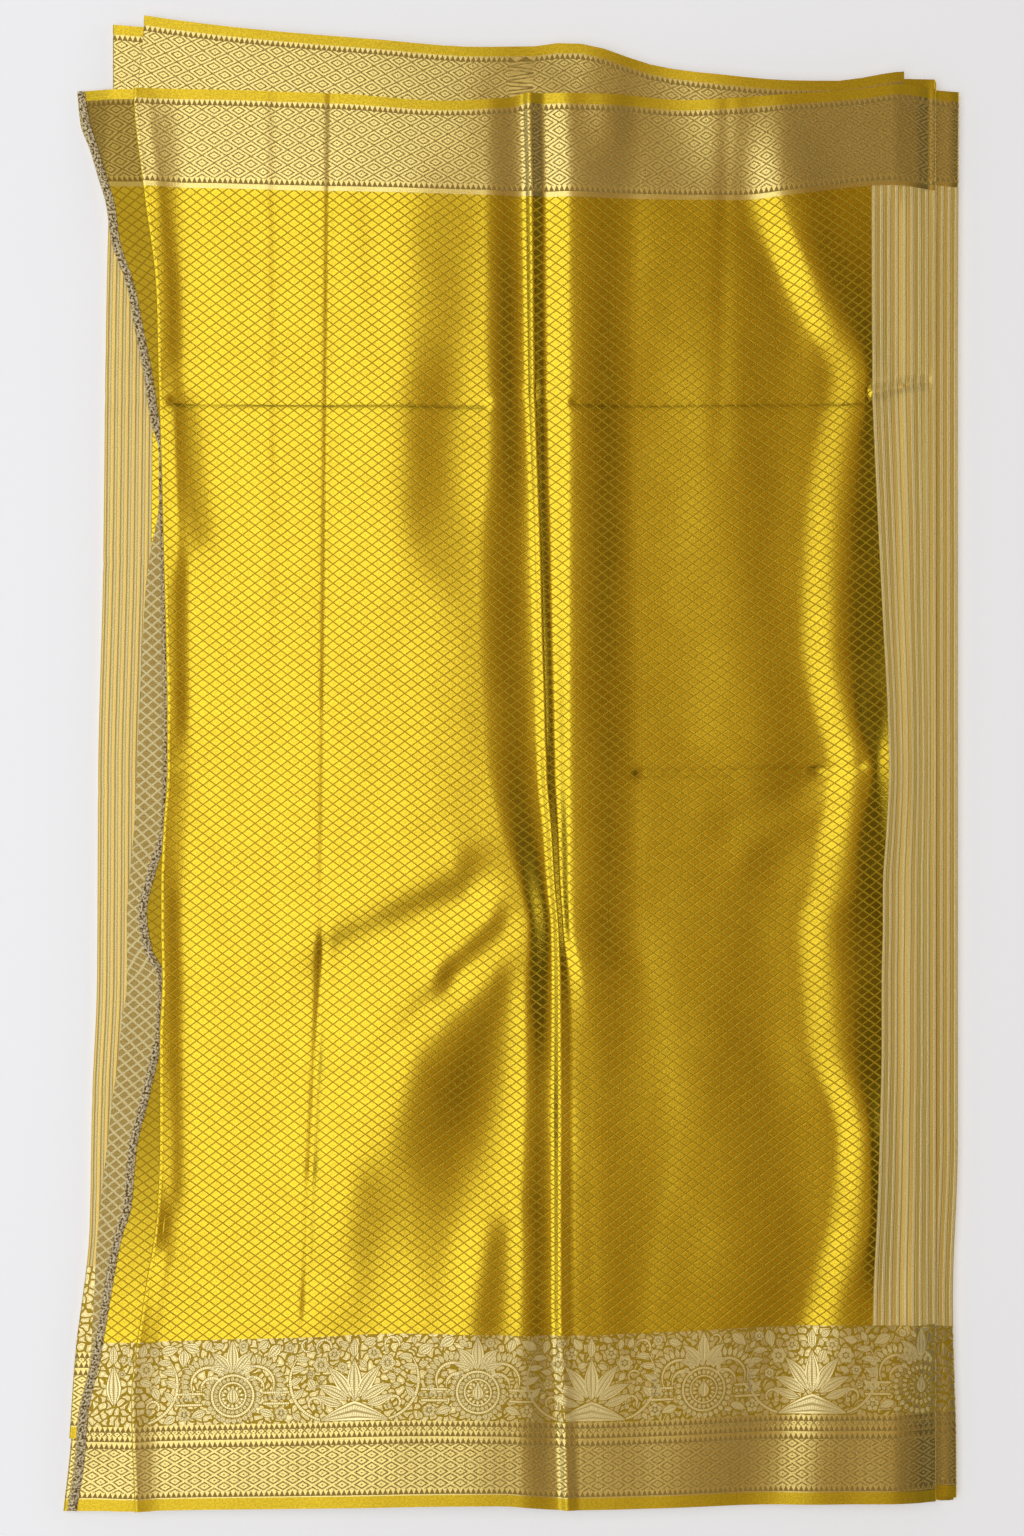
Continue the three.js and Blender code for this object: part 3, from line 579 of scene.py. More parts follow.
def front_net():
    v = stepped(ZONE_LINES, FRONT_PITCH, FRONT_CLOSE)
    x = front_columns(front_row(np.zeros_like(v), v))
    vv = np.broadcast_to(v[:, None], x.shape)
    for _ in range(2):
        y = front_row(x, vv)
        x = np.stack([front_columns(y[:, c])[:, c] for c in range(x.shape[1])], axis=1)
    y = front_row(x, vv)
    net = np.stack((x, y, front_height(x, y)), axis=2)
    first, last = net[:, 0], net[:, -1]

    tuck = [last.copy()]
    angles = fold_arc(7)
    rise = (last[:, 2] - TUCK_Z) / 2
    second_y = mix(float(LAYERS[0][5]), second_edge(np.full_like(v, FRONT_FOLD)), v / WIDTH)
    for i, angle in enumerate(angles):
        t = (i + 1) / (len(angles) + 1)
        tuck.append(np.stack((last[:, 0] + math.cos(angle) * FRONT_FOLD_RADIUS,
                              mix(last[:, 1], second_y, ease(t)),
                              TUCK_Z + rise + math.sin(angle) * rise), axis=1))
    for away in (0.0, 9.0, FRONT_TUCK):
        tx = last[:, 0] - away
        tuck.append(np.stack((tx, second_y, TUCK_Z + LAYERS[0][6] * relief(tx, second_y, 0)), axis=1))

    lip = []
    for angle in np.linspace(-math.pi / 2, math.pi / 2, 7)[:-1]:
        lip.append(np.stack((first[:, 0] - math.cos(angle) * CREASE_RADIUS, first[:, 1],
                             first[:, 2] - CREASE_RADIUS * (1 - math.sin(angle))), axis=1))
    under = lip[0].copy()
    under[:, 0] += LIP_RETURN
    columns = [under, *lip, *[net[:, c] for c in range(net.shape[1] - 1)], *tuck]
    points = np.stack(columns, axis=1)
    return v, points, len(lip) + 1, net.shape[1]


def across_lengths(points):
    """Distance along each row from its first point."""
    steps = np.linalg.norm(np.diff(points, axis=1), axis=2)
    return np.concatenate((np.zeros((len(points), 1)), np.cumsum(steps, axis=1)), axis=1)


def front_panel(materials):
    v, points, lead, count = front_net()
    x, y = points[..., 0], points[..., 1]
    u = x - thread_shift(x, y)
    after = lead + count - 1
    lengths = across_lengths(points)
    u[:, after:] = u[:, after - 1:after] + lengths[:, after:] - lengths[:, after - 1:after]
    u[:, :lead] = u[:, lead:lead + 1] - (lengths[:, lead:lead + 1] - lengths[:, :lead])
    columns = np.arange(points.shape[1] - 1)
    striped_from = lead + count - 1 - FRONT_INTERVALS[-1][2]
    striped = np.broadcast_to(columns[None, :] >= striped_from, (1, len(columns)))
    zones = zone_of(striped, v)
    zones[:, :lead] = MATERIAL_NAMES.index("selvedge")
    return cloth_object("front_panel", points, uv_net(u, v), zones, zones, materials)


# Lower layers

def layer_left(k, y):
    if k < 2:
        return np.maximum(SECOND_EDGE[0][0], SECTION["crease"](y) + 3.0)
    if k < 4:
        return left_fold(y)
    return left_fold(y) + (LAYER_INSET if k < 6 else 8.0)


def layer_right(k, y):
    if k == 0:
        return np.full_like(y, FRONT_FOLD - FRONT_TUCK)
    if k < 3:
        return right_fold(y)
    return right_fold(y) - LAYER_INSET * (1 if k < 5 else 2)


def layer_edges(k, x):
    """y of the lower and of the upper selvedge of a layer."""
    _, _, left_top, right_top, left_bottom, right_bottom, _ = LAYERS[k]
    t = np.clip((x - LAYER_ENDS[0]) / (LAYER_ENDS[1] - LAYER_ENDS[0]), 0, 1)
    top = mix(left_top, right_top, t)
    near = np.clip((x - SECOND_EDGE[0][0]) / 30, 0, 1)
    if k == 0:
        top = second_edge(x)
    elif k < 5:
        cover = np.where(x < 344, second_edge(x) - 1.6 * k * near, 1e3)
        top = np.where(x > -300, np.minimum(top, cover), top)
    bottom = mix(left_bottom, right_bottom, t)
    cover = bottom_edge(x) + 1.5
    bottom = np.where((x > -300) & (x < FRONT_FOLD), np.maximum(bottom, cover), bottom)
    return bottom, top


def layer_column(k, t, v):
    """Points of one column of a layer, t running from its right end to its left one."""
    x = np.zeros_like(v)
    y = mix(*LAYER_SPAN, v / WIDTH)
    for _ in range(3):
        x = mix(layer_right(k, y), layer_left(k, y), t)
        bottom, top = layer_edges(k, x)
        y = mix(bottom, top, v / WIDTH)
    left_z, right_z = LAYERS[k][:2]
    z = mix(right_z, left_z, t) + LAYERS[k][6] * relief(x, y, 0.8)
    if k > 1:
        z += line_folds(x, y, LAYER_CREASES) * min(1.0, z.min() / 5)
    return np.stack((x, y, z), axis=1)


def fold_columns(a, b, side, count):
    """Points round a fold, from column a of the upper layer to column b of the one below."""
    columns = []
    for i, angle in enumerate(fold_arc(count)):
        t = ease((i + 1) / (count + 1))
        middle = (a[:, 2] + b[:, 2]) / 2
        radius = (a[:, 2] - b[:, 2]) / 2
        x = mix(a[:, 0], b[:, 0], t) + side * np.cos(angle) * np.maximum(radius, 0.4)
        columns.append(np.stack((x, mix(a[:, 1], b[:, 1], t), middle + np.sin(angle) * radius), axis=1))
    return columns


def fold_shares():
    """Places across a layer: close together near both folds, wide in the hidden middle."""
    ends = np.array([0, 0.012, 0.03, 0.055, 0.085])
    return np.concatenate((ends, np.linspace(0.12, 0.88, 26), 1 - ends[::-1]))


def under_layers(materials):
    v = stepped(ZONE_LINES, LAYER_PITCH)
    shares = fold_shares()
    columns, striped, anchors = [], [], []
    for k in range(len(LAYERS)):
        order = shares if k % 2 == 0 else shares[::-1]
        layer = [layer_column(k, t, v) for t in order]
        if k > 0:
            arc = fold_columns(columns[-1], layer[0], -1 if k % 2 else 1, 5)
            middle = len(columns) + len(arc) // 2
            half = len(shares) // 2
            anchors[-half:] = [middle] * half
            columns += arc
            striped += [True] * len(arc)
            anchors += [middle] * (len(arc) + len(layer))
        else:
            anchors += [0] * len(layer)
        columns += layer
        striped += [bool(abs(np.mean(c[:, 0])) > STRIPED_PAST) for c in layer]
    points = np.stack(columns, axis=1)
    lengths = across_lengths(points)
    lengths += (lengths.mean(axis=0) - lengths)[:, anchors]
    zones = zone_of(np.array(striped[:-1])[None, :], v)
    return cloth_object("under_layers", points, uv_net(lengths, v), zones, zones, materials)


# Cloth end

def end_drop(x, y):
    past = np.maximum(0, left_fold(y) - 1.5 - x)
    low = np.clip((-535 - y) / 40, 0, 1) * np.clip((-318 - x) / 20, 0, 1) * 2.4
    return END_SLOPE * past + low


def end_heights(x, y):
    ripple = 0.25 * np.sin(y / 37 + x / 9) + 0.12 * np.sin(y / 11)
    return END_Z - end_drop(x, y) + ripple * np.clip((SECTION["crease"](y) - 4 - x) / 10, 0, 1)


def cloth_end(materials):
    """The last stretch of the cloth with its cut end turned over to the face."""
    v = stepped(ZONE_LINES, END_PITCH)
    y = front_row(np.full_like(v, END_ROW_X), v)
    outer, inner, crease = end_outer(y), end_inner(y), SECTION["crease"](y)
    radius = END_FOLD_RADIUS
    columns = []
    for t in np.linspace(1, 0, 9):
        x = mix(outer + radius, inner, t)
        columns.append(np.stack((x, y, end_heights(x, y) + TURNOVER_Z - END_Z), axis=1))
    for angle in fold_arc(5):
        x = outer + radius - math.cos(angle) * radius
        z = end_heights(outer + radius, y) + radius + math.sin(angle) * radius
        columns.append(np.stack((x, y, z), axis=1))
    for t in np.linspace(0, 1, 14):
        x = mix(outer + radius, crease + CREASE_TUCK, t)
        columns.append(np.stack((x, y, end_heights(x, y)), axis=1))
    points = np.stack(columns, axis=1)
    lengths = across_lengths(points)
    plain = zone_of(np.zeros((1, len(columns) - 1), dtype=bool), v)
    reverse = np.full_like(plain, MATERIAL_NAMES.index("reverse"))
    # The field and upper band of the cloth end take their copies with painted shade.
    for name in ("field", "upper_band"):
        plain[plain == MATERIAL_NAMES.index(name)] = MATERIAL_NAMES.index("end_" + name.split("_")[-1])
    return cloth_object("cloth_end", points, uv_net(lengths, v), plain, reverse, materials)


# Woven flowers of the lower border, drawn as ribbons with a width at each point

def ribbon(path, half_widths):
    path = np.asarray(path, float)
    tangent = np.gradient(path, axis=0)
    tangent /= np.maximum(np.linalg.norm(tangent, axis=1, keepdims=True), 1e-9)
    side = np.stack((-tangent[:, 1], tangent[:, 0]), axis=1) * np.asarray(half_widths, float)[:, None]
    return np.stack((path + side, path, path - side), axis=1)


def bent_path(x, y, angle, length, bend, count):
    """A path from a point, in degrees from +X, turning by bend on its way."""
    steps = np.radians(angle + bend * np.linspace(0, 1, count))
    step = length / (count - 1)
    xs = x + np.concatenate(([0], np.cumsum(np.cos(steps[:-1]) * step)))
    ys = y + np.concatenate(([0], np.cumsum(np.sin(steps[:-1]) * step)))
    return np.stack((xs, ys), axis=1)


def leaf(x, y, angle, length, width, bend=0.0, count=8):
    t = np.linspace(0, 1, count)
    widths = width / 2 * np.sin(math.pi * np.clip(t, 0.02, 0.985) ** 0.8) + 0.05
    return [ribbon(bent_path(x, y, angle, length, bend, count), widths)]


def disc(x, y, radius):
    t = np.linspace(-0.98, 0.98, 5)
    path = np.stack((x + t * radius, np.full(5, y)), axis=1)
    return [ribbon(path, radius * np.sqrt(1 - t**2))]


def ring(x, y, radius, width, count):
    angles = np.linspace(0, 2 * math.pi, count)
    path = np.stack((x + radius * np.cos(angles), y + radius * np.sin(angles)), axis=1)
    return [ribbon(path, np.full(count, width / 2))]


def stroke(points, width, taper=0.35):
    t = np.linspace(0, 1, len(points))
    swell = np.sin(math.pi * np.clip(t + 0.12, 0, 1)) ** 0.5
    return [ribbon(points, width / 2 * (taper + (1 - taper) * swell))]


def petals(x, y, inner, length, width, count, start=0.0):
    shapes = []
    for i in range(count):
        angle = start + i * 360.0 / count
        a = math.radians(angle)
        shapes += leaf(x + inner * math.cos(a), y + inner * math.sin(a), angle, length, width, 0, 5)
    return shapes


def rosette(x, y, radius, count=5, turn=18.0):
    return petals(x, y, radius * 0.34, radius * 0.68, radius * 0.78, count, turn) + disc(x, y, radius * 0.26)


def scroll(x, y, angle, length, bend, width):
    path = bent_path(x, y, angle, length, bend, 18)
    return stroke(path, width) + disc(path[-1, 0], path[-1, 1], width * 1.1)


def mirrored(shapes):
    flip = np.array((-1.0, 1.0))
    return shapes + [(shape * flip)[:, ::-1] for shape in shapes]


def medallion():
    """A round fruit in a scalloped ring, a fan of leaves on it and a feathered curl at each side."""
    cx, cy = 0.0, 23.5
    shapes = petals(cx, cy, 18.6, 4.6, 4.0, 28, 3)
    shapes += ring(cx, cy, 16.9, 1.7, 40)
    shapes += petals(cx, cy, 11.9, 3.9, 2.7, 24)
    shapes += ring(cx, cy, 10.7, 1.3, 32)
    shapes += petals(cx, cy - 1, 5.9, 3.6, 2.0, 14, 12)
    shapes += leaf(cx, cy - 6.0, 90, 12.6, 8.4, 0, 9)
    half = leaf(3.0, 44.2, 58, 20, 8.0, -26) + leaf(5.2, 43.0, 24, 15, 6.4, -26)
    arc = bent_path(7.5, 40.5, 52, 44, -178, 15)
    half += stroke(arc, 2.0)
    for i in range(1, 15):
        a = math.degrees(math.atan2(*(arc[i] - arc[i - 1])[::-1])) + 84
        lean = np.array((math.cos(math.radians(a)), math.sin(math.radians(a))))
        half += leaf(*(arc[i] + 1.8 * lean), a, 7.6, 3.5, -14, 5)
    half += stroke(bent_path(9.5, 35.5, 40, 24, -150, 10), 2.2)
    for y in (16.6, 25.6):
        half += stroke(np.array([(25.0 + 2.6 * i, y) for i in range(9)]), 1.7, 0.9)
    for i in range(6):
        half += disc(26.8 + 3.7 * i, 21.1, 1.5)
    half += leaf(22, 10.5, -12, 13, 6.4, -20) + rosette(39.5, 8.6, 5.6)
    shapes += leaf(0, 44.6, 90, 24.0, 9.4, 0, 8)
    return shapes + mirrored(half)


def mound(reach, height):
    """A low hill that stands on the lower edge of the band."""
    x = np.linspace(-reach, reach, 17)
    top = height * np.maximum(1 - np.abs(x) / reach, 0.03) ** 0.75
    return [ribbon(np.stack((x, 1.2 + top / 2), axis=1), top / 2)]


def spray():
    """Broad leaves that rise from a mound, held in two vines that meet above the next figures."""
    shapes = mound(27.0, 15.5) + leaf(0, 18.5, 90, 32, 11.5, 0) + leaf(0, 52.5, 90, 15, 6.4, 0)
    half = leaf(3.4, 20, 63, 31, 9.8, -20) + leaf(6.0, 18.0, 36, 27, 8.8, -22)
    half += leaf(10.5, 14.0, 12, 22, 7.0, 24)
    vine = bent_path(28.0, 2.4, 18, 64, 112, 22)
    half += stroke(vine, 2.1)
    half += scroll(36, 12.5, 60, 22, 260, 1.8)
    for i, lean in ((9, 62), (13, 58), (17, 62), (20, 50)):
        a = math.degrees(math.atan2(*(vine[i] - vine[i - 1])[::-1]))
        half += leaf(*vine[i], a + lean, 11.5, 5.2, 22, 6)
    half += rosette(27, 47, 6.6, 6, 0) + rosette(16, 55, 5.2)
    return shapes + mirrored(half)


# Places of the two figures along the front, and along the stretch of the cloth end.
MEDALLION_X = (-225.0, -26.0, 157.0, 333.0)
SPRAY_X = (-126.0, 66.0, 245.0, -322.0)
FLORAL_MARGIN = 1.2
# The small leaves and blossoms between them: a size and how many places are tried for it.
FILLINGS = ((14.0, 800), (11.0, 1200), (8.5, 2400), (6.5, 2400))
FILLING_SEED = 11


class Ground:
    """Notes which parts of the band the figures cover, on a fine grid."""

    STEP = 0.5
    REACH = 360

    def __init__(self):
        shape = (int(2 * self.REACH / self.STEP), int(FLORAL_TOP / self.STEP))
        self.taken = np.zeros(shape, dtype=bool)

    def cells(self, shape, margin):
        side = shape[:, 0] - shape[:, 2]
        length = np.maximum(np.linalg.norm(side, axis=1, keepdims=True), 1e-6)
        left, right = shape[:, 0] + side / length * margin, shape[:, 2] - side / length * margin
        t = np.linspace(0, 1, 4 * len(shape))
        index = np.arange(len(shape)) / (len(shape) - 1)
        left = np.stack([np.interp(t, index, left[:, i]) for i in (0, 1)], axis=1)
        right = np.stack([np.interp(t, index, right[:, i]) for i in (0, 1)], axis=1)
        points = mix(left[:, None], right[:, None], np.linspace(0, 1, 15)[None, :, None]).reshape(-1, 2)
        cells = ((points + (self.REACH, 0)) / self.STEP).astype(int)
        return np.clip(cells, 0, np.array(self.taken.shape) - 1)

    def is_free(self, x, v):
        return not self.taken[int((x + self.REACH) / self.STEP), int(v / self.STEP)]

    def free(self, shapes, margin):
        for shape in shapes:
            if shape[..., 1].min() < EDGING_TOP + 0.8 or shape[..., 1].max() > FLORAL_TOP - FLORAL_MARGIN:
                return False
            cells = self.cells(shape, margin)
            if self.taken[cells[:, 0], cells[:, 1]].any():
                return False
        return True

    def take(self, shapes):
        for shape in shapes:
            cells = self.cells(shape, 0.2)
            self.taken[cells[:, 0], cells[:, 1]] = True


@functools.cache
def placed_figures():
    """The main figures, then leaves and blossoms of falling size wherever the ground is still free."""
    figures = []
    for places, figure in ((MEDALLION_X, medallion), (SPRAY_X, spray)):
        for x in places:
            figures += [shape + np.array((x, EDGING_TOP)) for shape in figure()]
    ground = Ground()
    ground.take(figures)
    chance = np.random.default_rng(FILLING_SEED)
    for size, tries in FILLINGS:
        for _ in range(tries):
            x, v = chance.uniform(-350, 350), chance.uniform(EDGING_TOP + 1, FLORAL_TOP - 2)
            angle, kind = chance.uniform(0, 360), chance.uniform()
            if not ground.is_free(x, v):
                continue
            if kind < 0.25 and size < 11:
                shapes = rosette(x, v, size * 0.48, 5 + int(kind * 12), angle)
            elif kind < 0.35 and size > 6:
                shapes = scroll(x, v, angle, size * 1.7, 230, 1.5)
            else:
                shapes = leaf(x, v, angle, size, size * 0.58, 40 * (kind - 0.7), 6)
            if ground.free(shapes, 0.9):
                ground.take(shapes)
                figures += shapes
    return figures


def widened(shape, margin):
    """The shape with a margin on both sides and at both ends."""
    side = shape[:, 0] - shape[:, 2]
    side = side / np.maximum(np.linalg.norm(side, axis=1, keepdims=True), 1e-6) * margin
    wide = np.stack((shape[:, 0] + side, shape[:, 1], shape[:, 2] - side), axis=1)
    for end, next_in in ((0, 1), (-1, -2)):
        step = shape[end, 1] - shape[next_in, 1]
        wide[end] += step / max(np.linalg.norm(step), 1e-6) * margin
    return wide


def flowers(name, materials, x_range, height, row):
    """All the figures that fall on one stretch of cloth, each on a slightly wider ground of its own."""
    lift = bpy.context.scene.saree_sizes.inlay / MM
    cloth = bpy.context.scene.saree_sizes.cloth / MM
    points, faces, uvs, profiles, zones, total = [], [], [], [], [], 0
    for figure in placed_figures():
        for shape, rise, zone in ((widened(figure, 0.6), lift / 2, 1), (figure, lift, 0)):
            x, v = shape[..., 0], np.clip(shape[..., 1], EDGING_TOP + 0.3, FLORAL_TOP - 0.6)
            y = row(x, v)
            low, high = x_range(y)
            if np.any(x < low) or np.any(x > high) or figure[..., 1].max() > FLORAL_TOP - FLORAL_MARGIN:
                break
            z = height(x, y)
            slope_x = (height(x + 0.4, y) - height(x - 0.4, y)) / 0.8
            slope_y = (height(x, y + 0.4) - height(x, y - 0.4)) / 0.8
            normal = np.stack((-slope_x, -slope_y, np.ones_like(x)), axis=2)
            normal /= np.linalg.norm(normal, axis=2, keepdims=True)
            net = np.stack((x, y, z), axis=2)
            rows, columns = net.shape[:2]
            for level in (cloth / 2 + rise, cloth / 4):
                points.append((net + normal * level).reshape(-1, 3))
            made = np.concatenate(wall_faces(rows, columns, total))
            middle = np.cross(net[1, 2] - net[0, 0], net[1, 0] - net[0, 2])[2]
            faces.append(made if middle > 0 else made[:, ::-1])
            zones += [zone] * len(made)
            uvs += [shape.reshape(-1, 2)] * 2
            wide = np.linalg.norm(shape[:, 0] - shape[:, 2], axis=1).max()
            across = np.array((1.0, 0.0, -1.0)) if wide > 2.2 else np.array((0.4, 0.4, 0.4))
            steps = np.linalg.norm(np.diff(shape[:, 1], axis=0), axis=1)
            along = np.concatenate(([0.0], np.cumsum(steps)))
            profile = np.stack(np.broadcast_arrays(across[None, :], along[:, None]), axis=2)
            profiles += [profile.reshape(-1, 2)] * 2
            total += rows * columns * 2
    faces = np.concatenate(faces)
    piece = mesh_object(name, np.concatenate(points), faces, np.concatenate(uvs), np.array(zones), materials)
    layer = piece.data.uv_layers.new(name="Profile")
    layer.data.foreach_set("uv", np.concatenate(profiles)[faces.ravel()].astype(np.float32).ravel())
    piece.data.uv_layers["UVMap"].active_render = True
    return piece


# Node building

class Graph:
    """Adds nodes to a tree and joins them by value."""

    def __init__(self, tree):
        self.tree = tree

    def feed(self, socket, value):
        if isinstance(value, bpy.types.NodeSocket):
            self.tree.links.new(value, socket)
        else:
            socket.default_value = value

    def node(self, kind, inputs=None, **settings):
        node = self.tree.nodes.new(kind)
        for name, value in settings.items():
            setattr(node, name, value)
        for key, value in (inputs or {}).items():
            self.feed(node.inputs[key], value)
        return node

    def math(self, operation, *values):
        node = self.node("ShaderNodeMath", operation=operation)
        for socket, value in zip(node.inputs, values):
            self.feed(socket, value)
        return node.outputs[0]

    def add(self, a, b):
        return self.math("ADD", a, b)

    def sub(self, a, b):
        return self.math("SUBTRACT", a, b)

    def mul(self, a, b):
        return self.math("MULTIPLY", a, b)

    def fract(self, value):
        return self.math("FRACT", value)

    def distance(self, value, middle):
        return self.math("ABSOLUTE", self.sub(value, middle))

    def parts(self, vector):
        return self.node("ShaderNodeSeparateXYZ", {"Vector": vector}).outputs

    def vector(self, operation, a, b):
        return self.node("ShaderNodeVectorMath", {0: a, 1: b}, operation=operation).outputs[0]

    def noise(self, vector, scale, **more):
        inputs = {"Vector": vector, "Scale": scale, "Detail": 2.0, **more}
        return self.node("ShaderNodeTexNoise", inputs, noise_dimensions="2D").outputs["Fac"]

    def smooth(self, value, low, high):
        node = self.node("ShaderNodeMapRange", interpolation_type="SMOOTHSTEP",
                         inputs={"Value": value, "From Min": low, "From Max": high})
        return node.outputs["Result"]

    def fall(self, value, low, high):
        """One up to the low value, nothing from the high one."""
        return self.sub(1.0, self.smooth(value, low, high))

    def blend(self, factor, a, b):
        node = self.node("ShaderNodeMix", data_type="RGBA")
        self.feed(node.inputs[0], factor)
        self.feed(node.inputs[6], a)
        self.feed(node.inputs[7], b)
        return node.outputs[2]

    def speckled(self, weave, colour, dull):
        """The colour with uneven specks, the dull ones at a share of it."""
        return self.blend(weave["Speckle"], darker(colour, dull), rgba(colour))

    def mix_value(self, factor, a, b):
        node = self.node("ShaderNodeMix", data_type="FLOAT")
        for i, value in ((0, factor), (2, a), (3, b)):
            self.feed(node.inputs[i], value)
        return node.outputs[0]

    def group(self, tree, **inputs):
        node = self.node("ShaderNodeGroup", node_tree=tree)
        for name, value in inputs.items():
            self.feed(node.inputs[name.replace("_", " ")], value)
        return node.outputs


def shader_group(name, inputs, outputs, build):
    tree = bpy.data.node_groups.new(name, "ShaderNodeTree")
    for socket, kind, default in inputs:
        made = tree.interface.new_socket(name=socket, in_out="INPUT", socket_type=kind)
        if default is not None:
            made.default_value = default
    for socket in outputs:
        tree.interface.new_socket(name=socket, in_out="OUTPUT", socket_type="NodeSocketFloat")
    g = Graph(tree)
    results = build(g, g.node("NodeGroupInput").outputs)
    end = g.node("NodeGroupOutput")
    for socket, value in zip(outputs, results):
        g.feed(end.inputs[socket], value)
    return tree


def lattice_group():
    """Diamond cells: a mask of their lines, a tone for each cell and the distance from its middle."""

    def build(g, given):
        parts = g.parts(given["Vector"])
        a = g.math("DIVIDE", parts["X"], given["Cell Width"])
        b = g.math("DIVIDE", parts["Y"], given["Cell Height"])
        p, q = g.add(a, b), g.sub(a, b)
        fp = g.distance(g.fract(p), 0.5)
        fq = g.distance(g.fract(q), 0.5)
        ring_share = g.mul(g.math("MAXIMUM", fp, fq), 2.0)
        edge = g.sub(1.0, ring_share)
        line = g.fall(edge, g.mul(given["Line"], 0.5), g.mul(given["Line"], 1.5))
        cell = g.node("ShaderNodeCombineXYZ", {"X": g.math("FLOOR", p), "Y": g.math("FLOOR", q)}).outputs[0]
        tone = g.node("ShaderNodeTexWhiteNoise", {"Vector": cell}, noise_dimensions="2D").outputs["Value"]
        return line, tone, ring_share

    return shader_group("Diamond lattice",
                        (("Vector", "NodeSocketVector", None), ("Cell Width", "NodeSocketFloat", 0.0106),
                         ("Cell Height", "NodeSocketFloat", 0.0078), ("Line", "NodeSocketFloat", 0.15)),
                        ("Line", "Tone", "Ring"), build)


def weave_group():
    """Threads of a figured silk: uneven specks of light and a fine height."""

    def build(g, given):
        stretch = g.node("ShaderNodeMapping", {"Vector": given["Vector"], "Scale": (1.0, 1.35, 1.0)})
        specks = g.noise(stretch.outputs[0], given["Specks"], Detail=1.5, Roughness=0.6)
        broad = g.noise(given["Vector"], 22.0)
        parts = g.parts(given["Vector"])
        weft = g.math("SINE", g.mul(parts["Y"], given["Threads"]))
        height = g.add(g.mul(specks, 0.8), g.mul(weft, 0.12))
        return g.smooth(specks, 0.36, 0.66), height, broad

    return shader_group("Silk weave",
                        (("Vector", "NodeSocketVector", None), ("Specks", "NodeSocketFloat", 620.0),
                         ("Threads", "NodeSocketFloat", 5200.0)),
                        ("Speckle", "Height", "Cloud"), build)


def rows_group():
    """Small teeth that stand in a row: a mask between two distances across the cloth."""

    def build(g, given):
        parts = g.parts(given["Vector"])
        inside = g.mul(g.math("GREATER_THAN", parts["Y"], given["From"]),
                       g.math("LESS_THAN", parts["Y"], given["To"]))
        height = g.sub(given["To"], given["From"])
        rise = g.math("DIVIDE", g.sub(parts["Y"], given["From"]), height)
        swing = g.mul(g.distance(g.fract(g.math("DIVIDE", parts["X"], given["Pitch"])), 0.5), 2.0)
        tooth = g.smooth(g.sub(swing, rise), -0.12, 0.12)
        return inside, tooth

    return shader_group("Row of teeth",
                        (("Vector", "NodeSocketVector", None), ("From", "NodeSocketFloat", 0.0),
                         ("To", "NodeSocketFloat", 0.004), ("Pitch", "NodeSocketFloat", 0.004)),
                        ("Inside", "Tooth"), build)


def rgba(colour):
    return (*colour, 1.0)


def darker(colour, share):
    return rgba([c * share for c in colour])


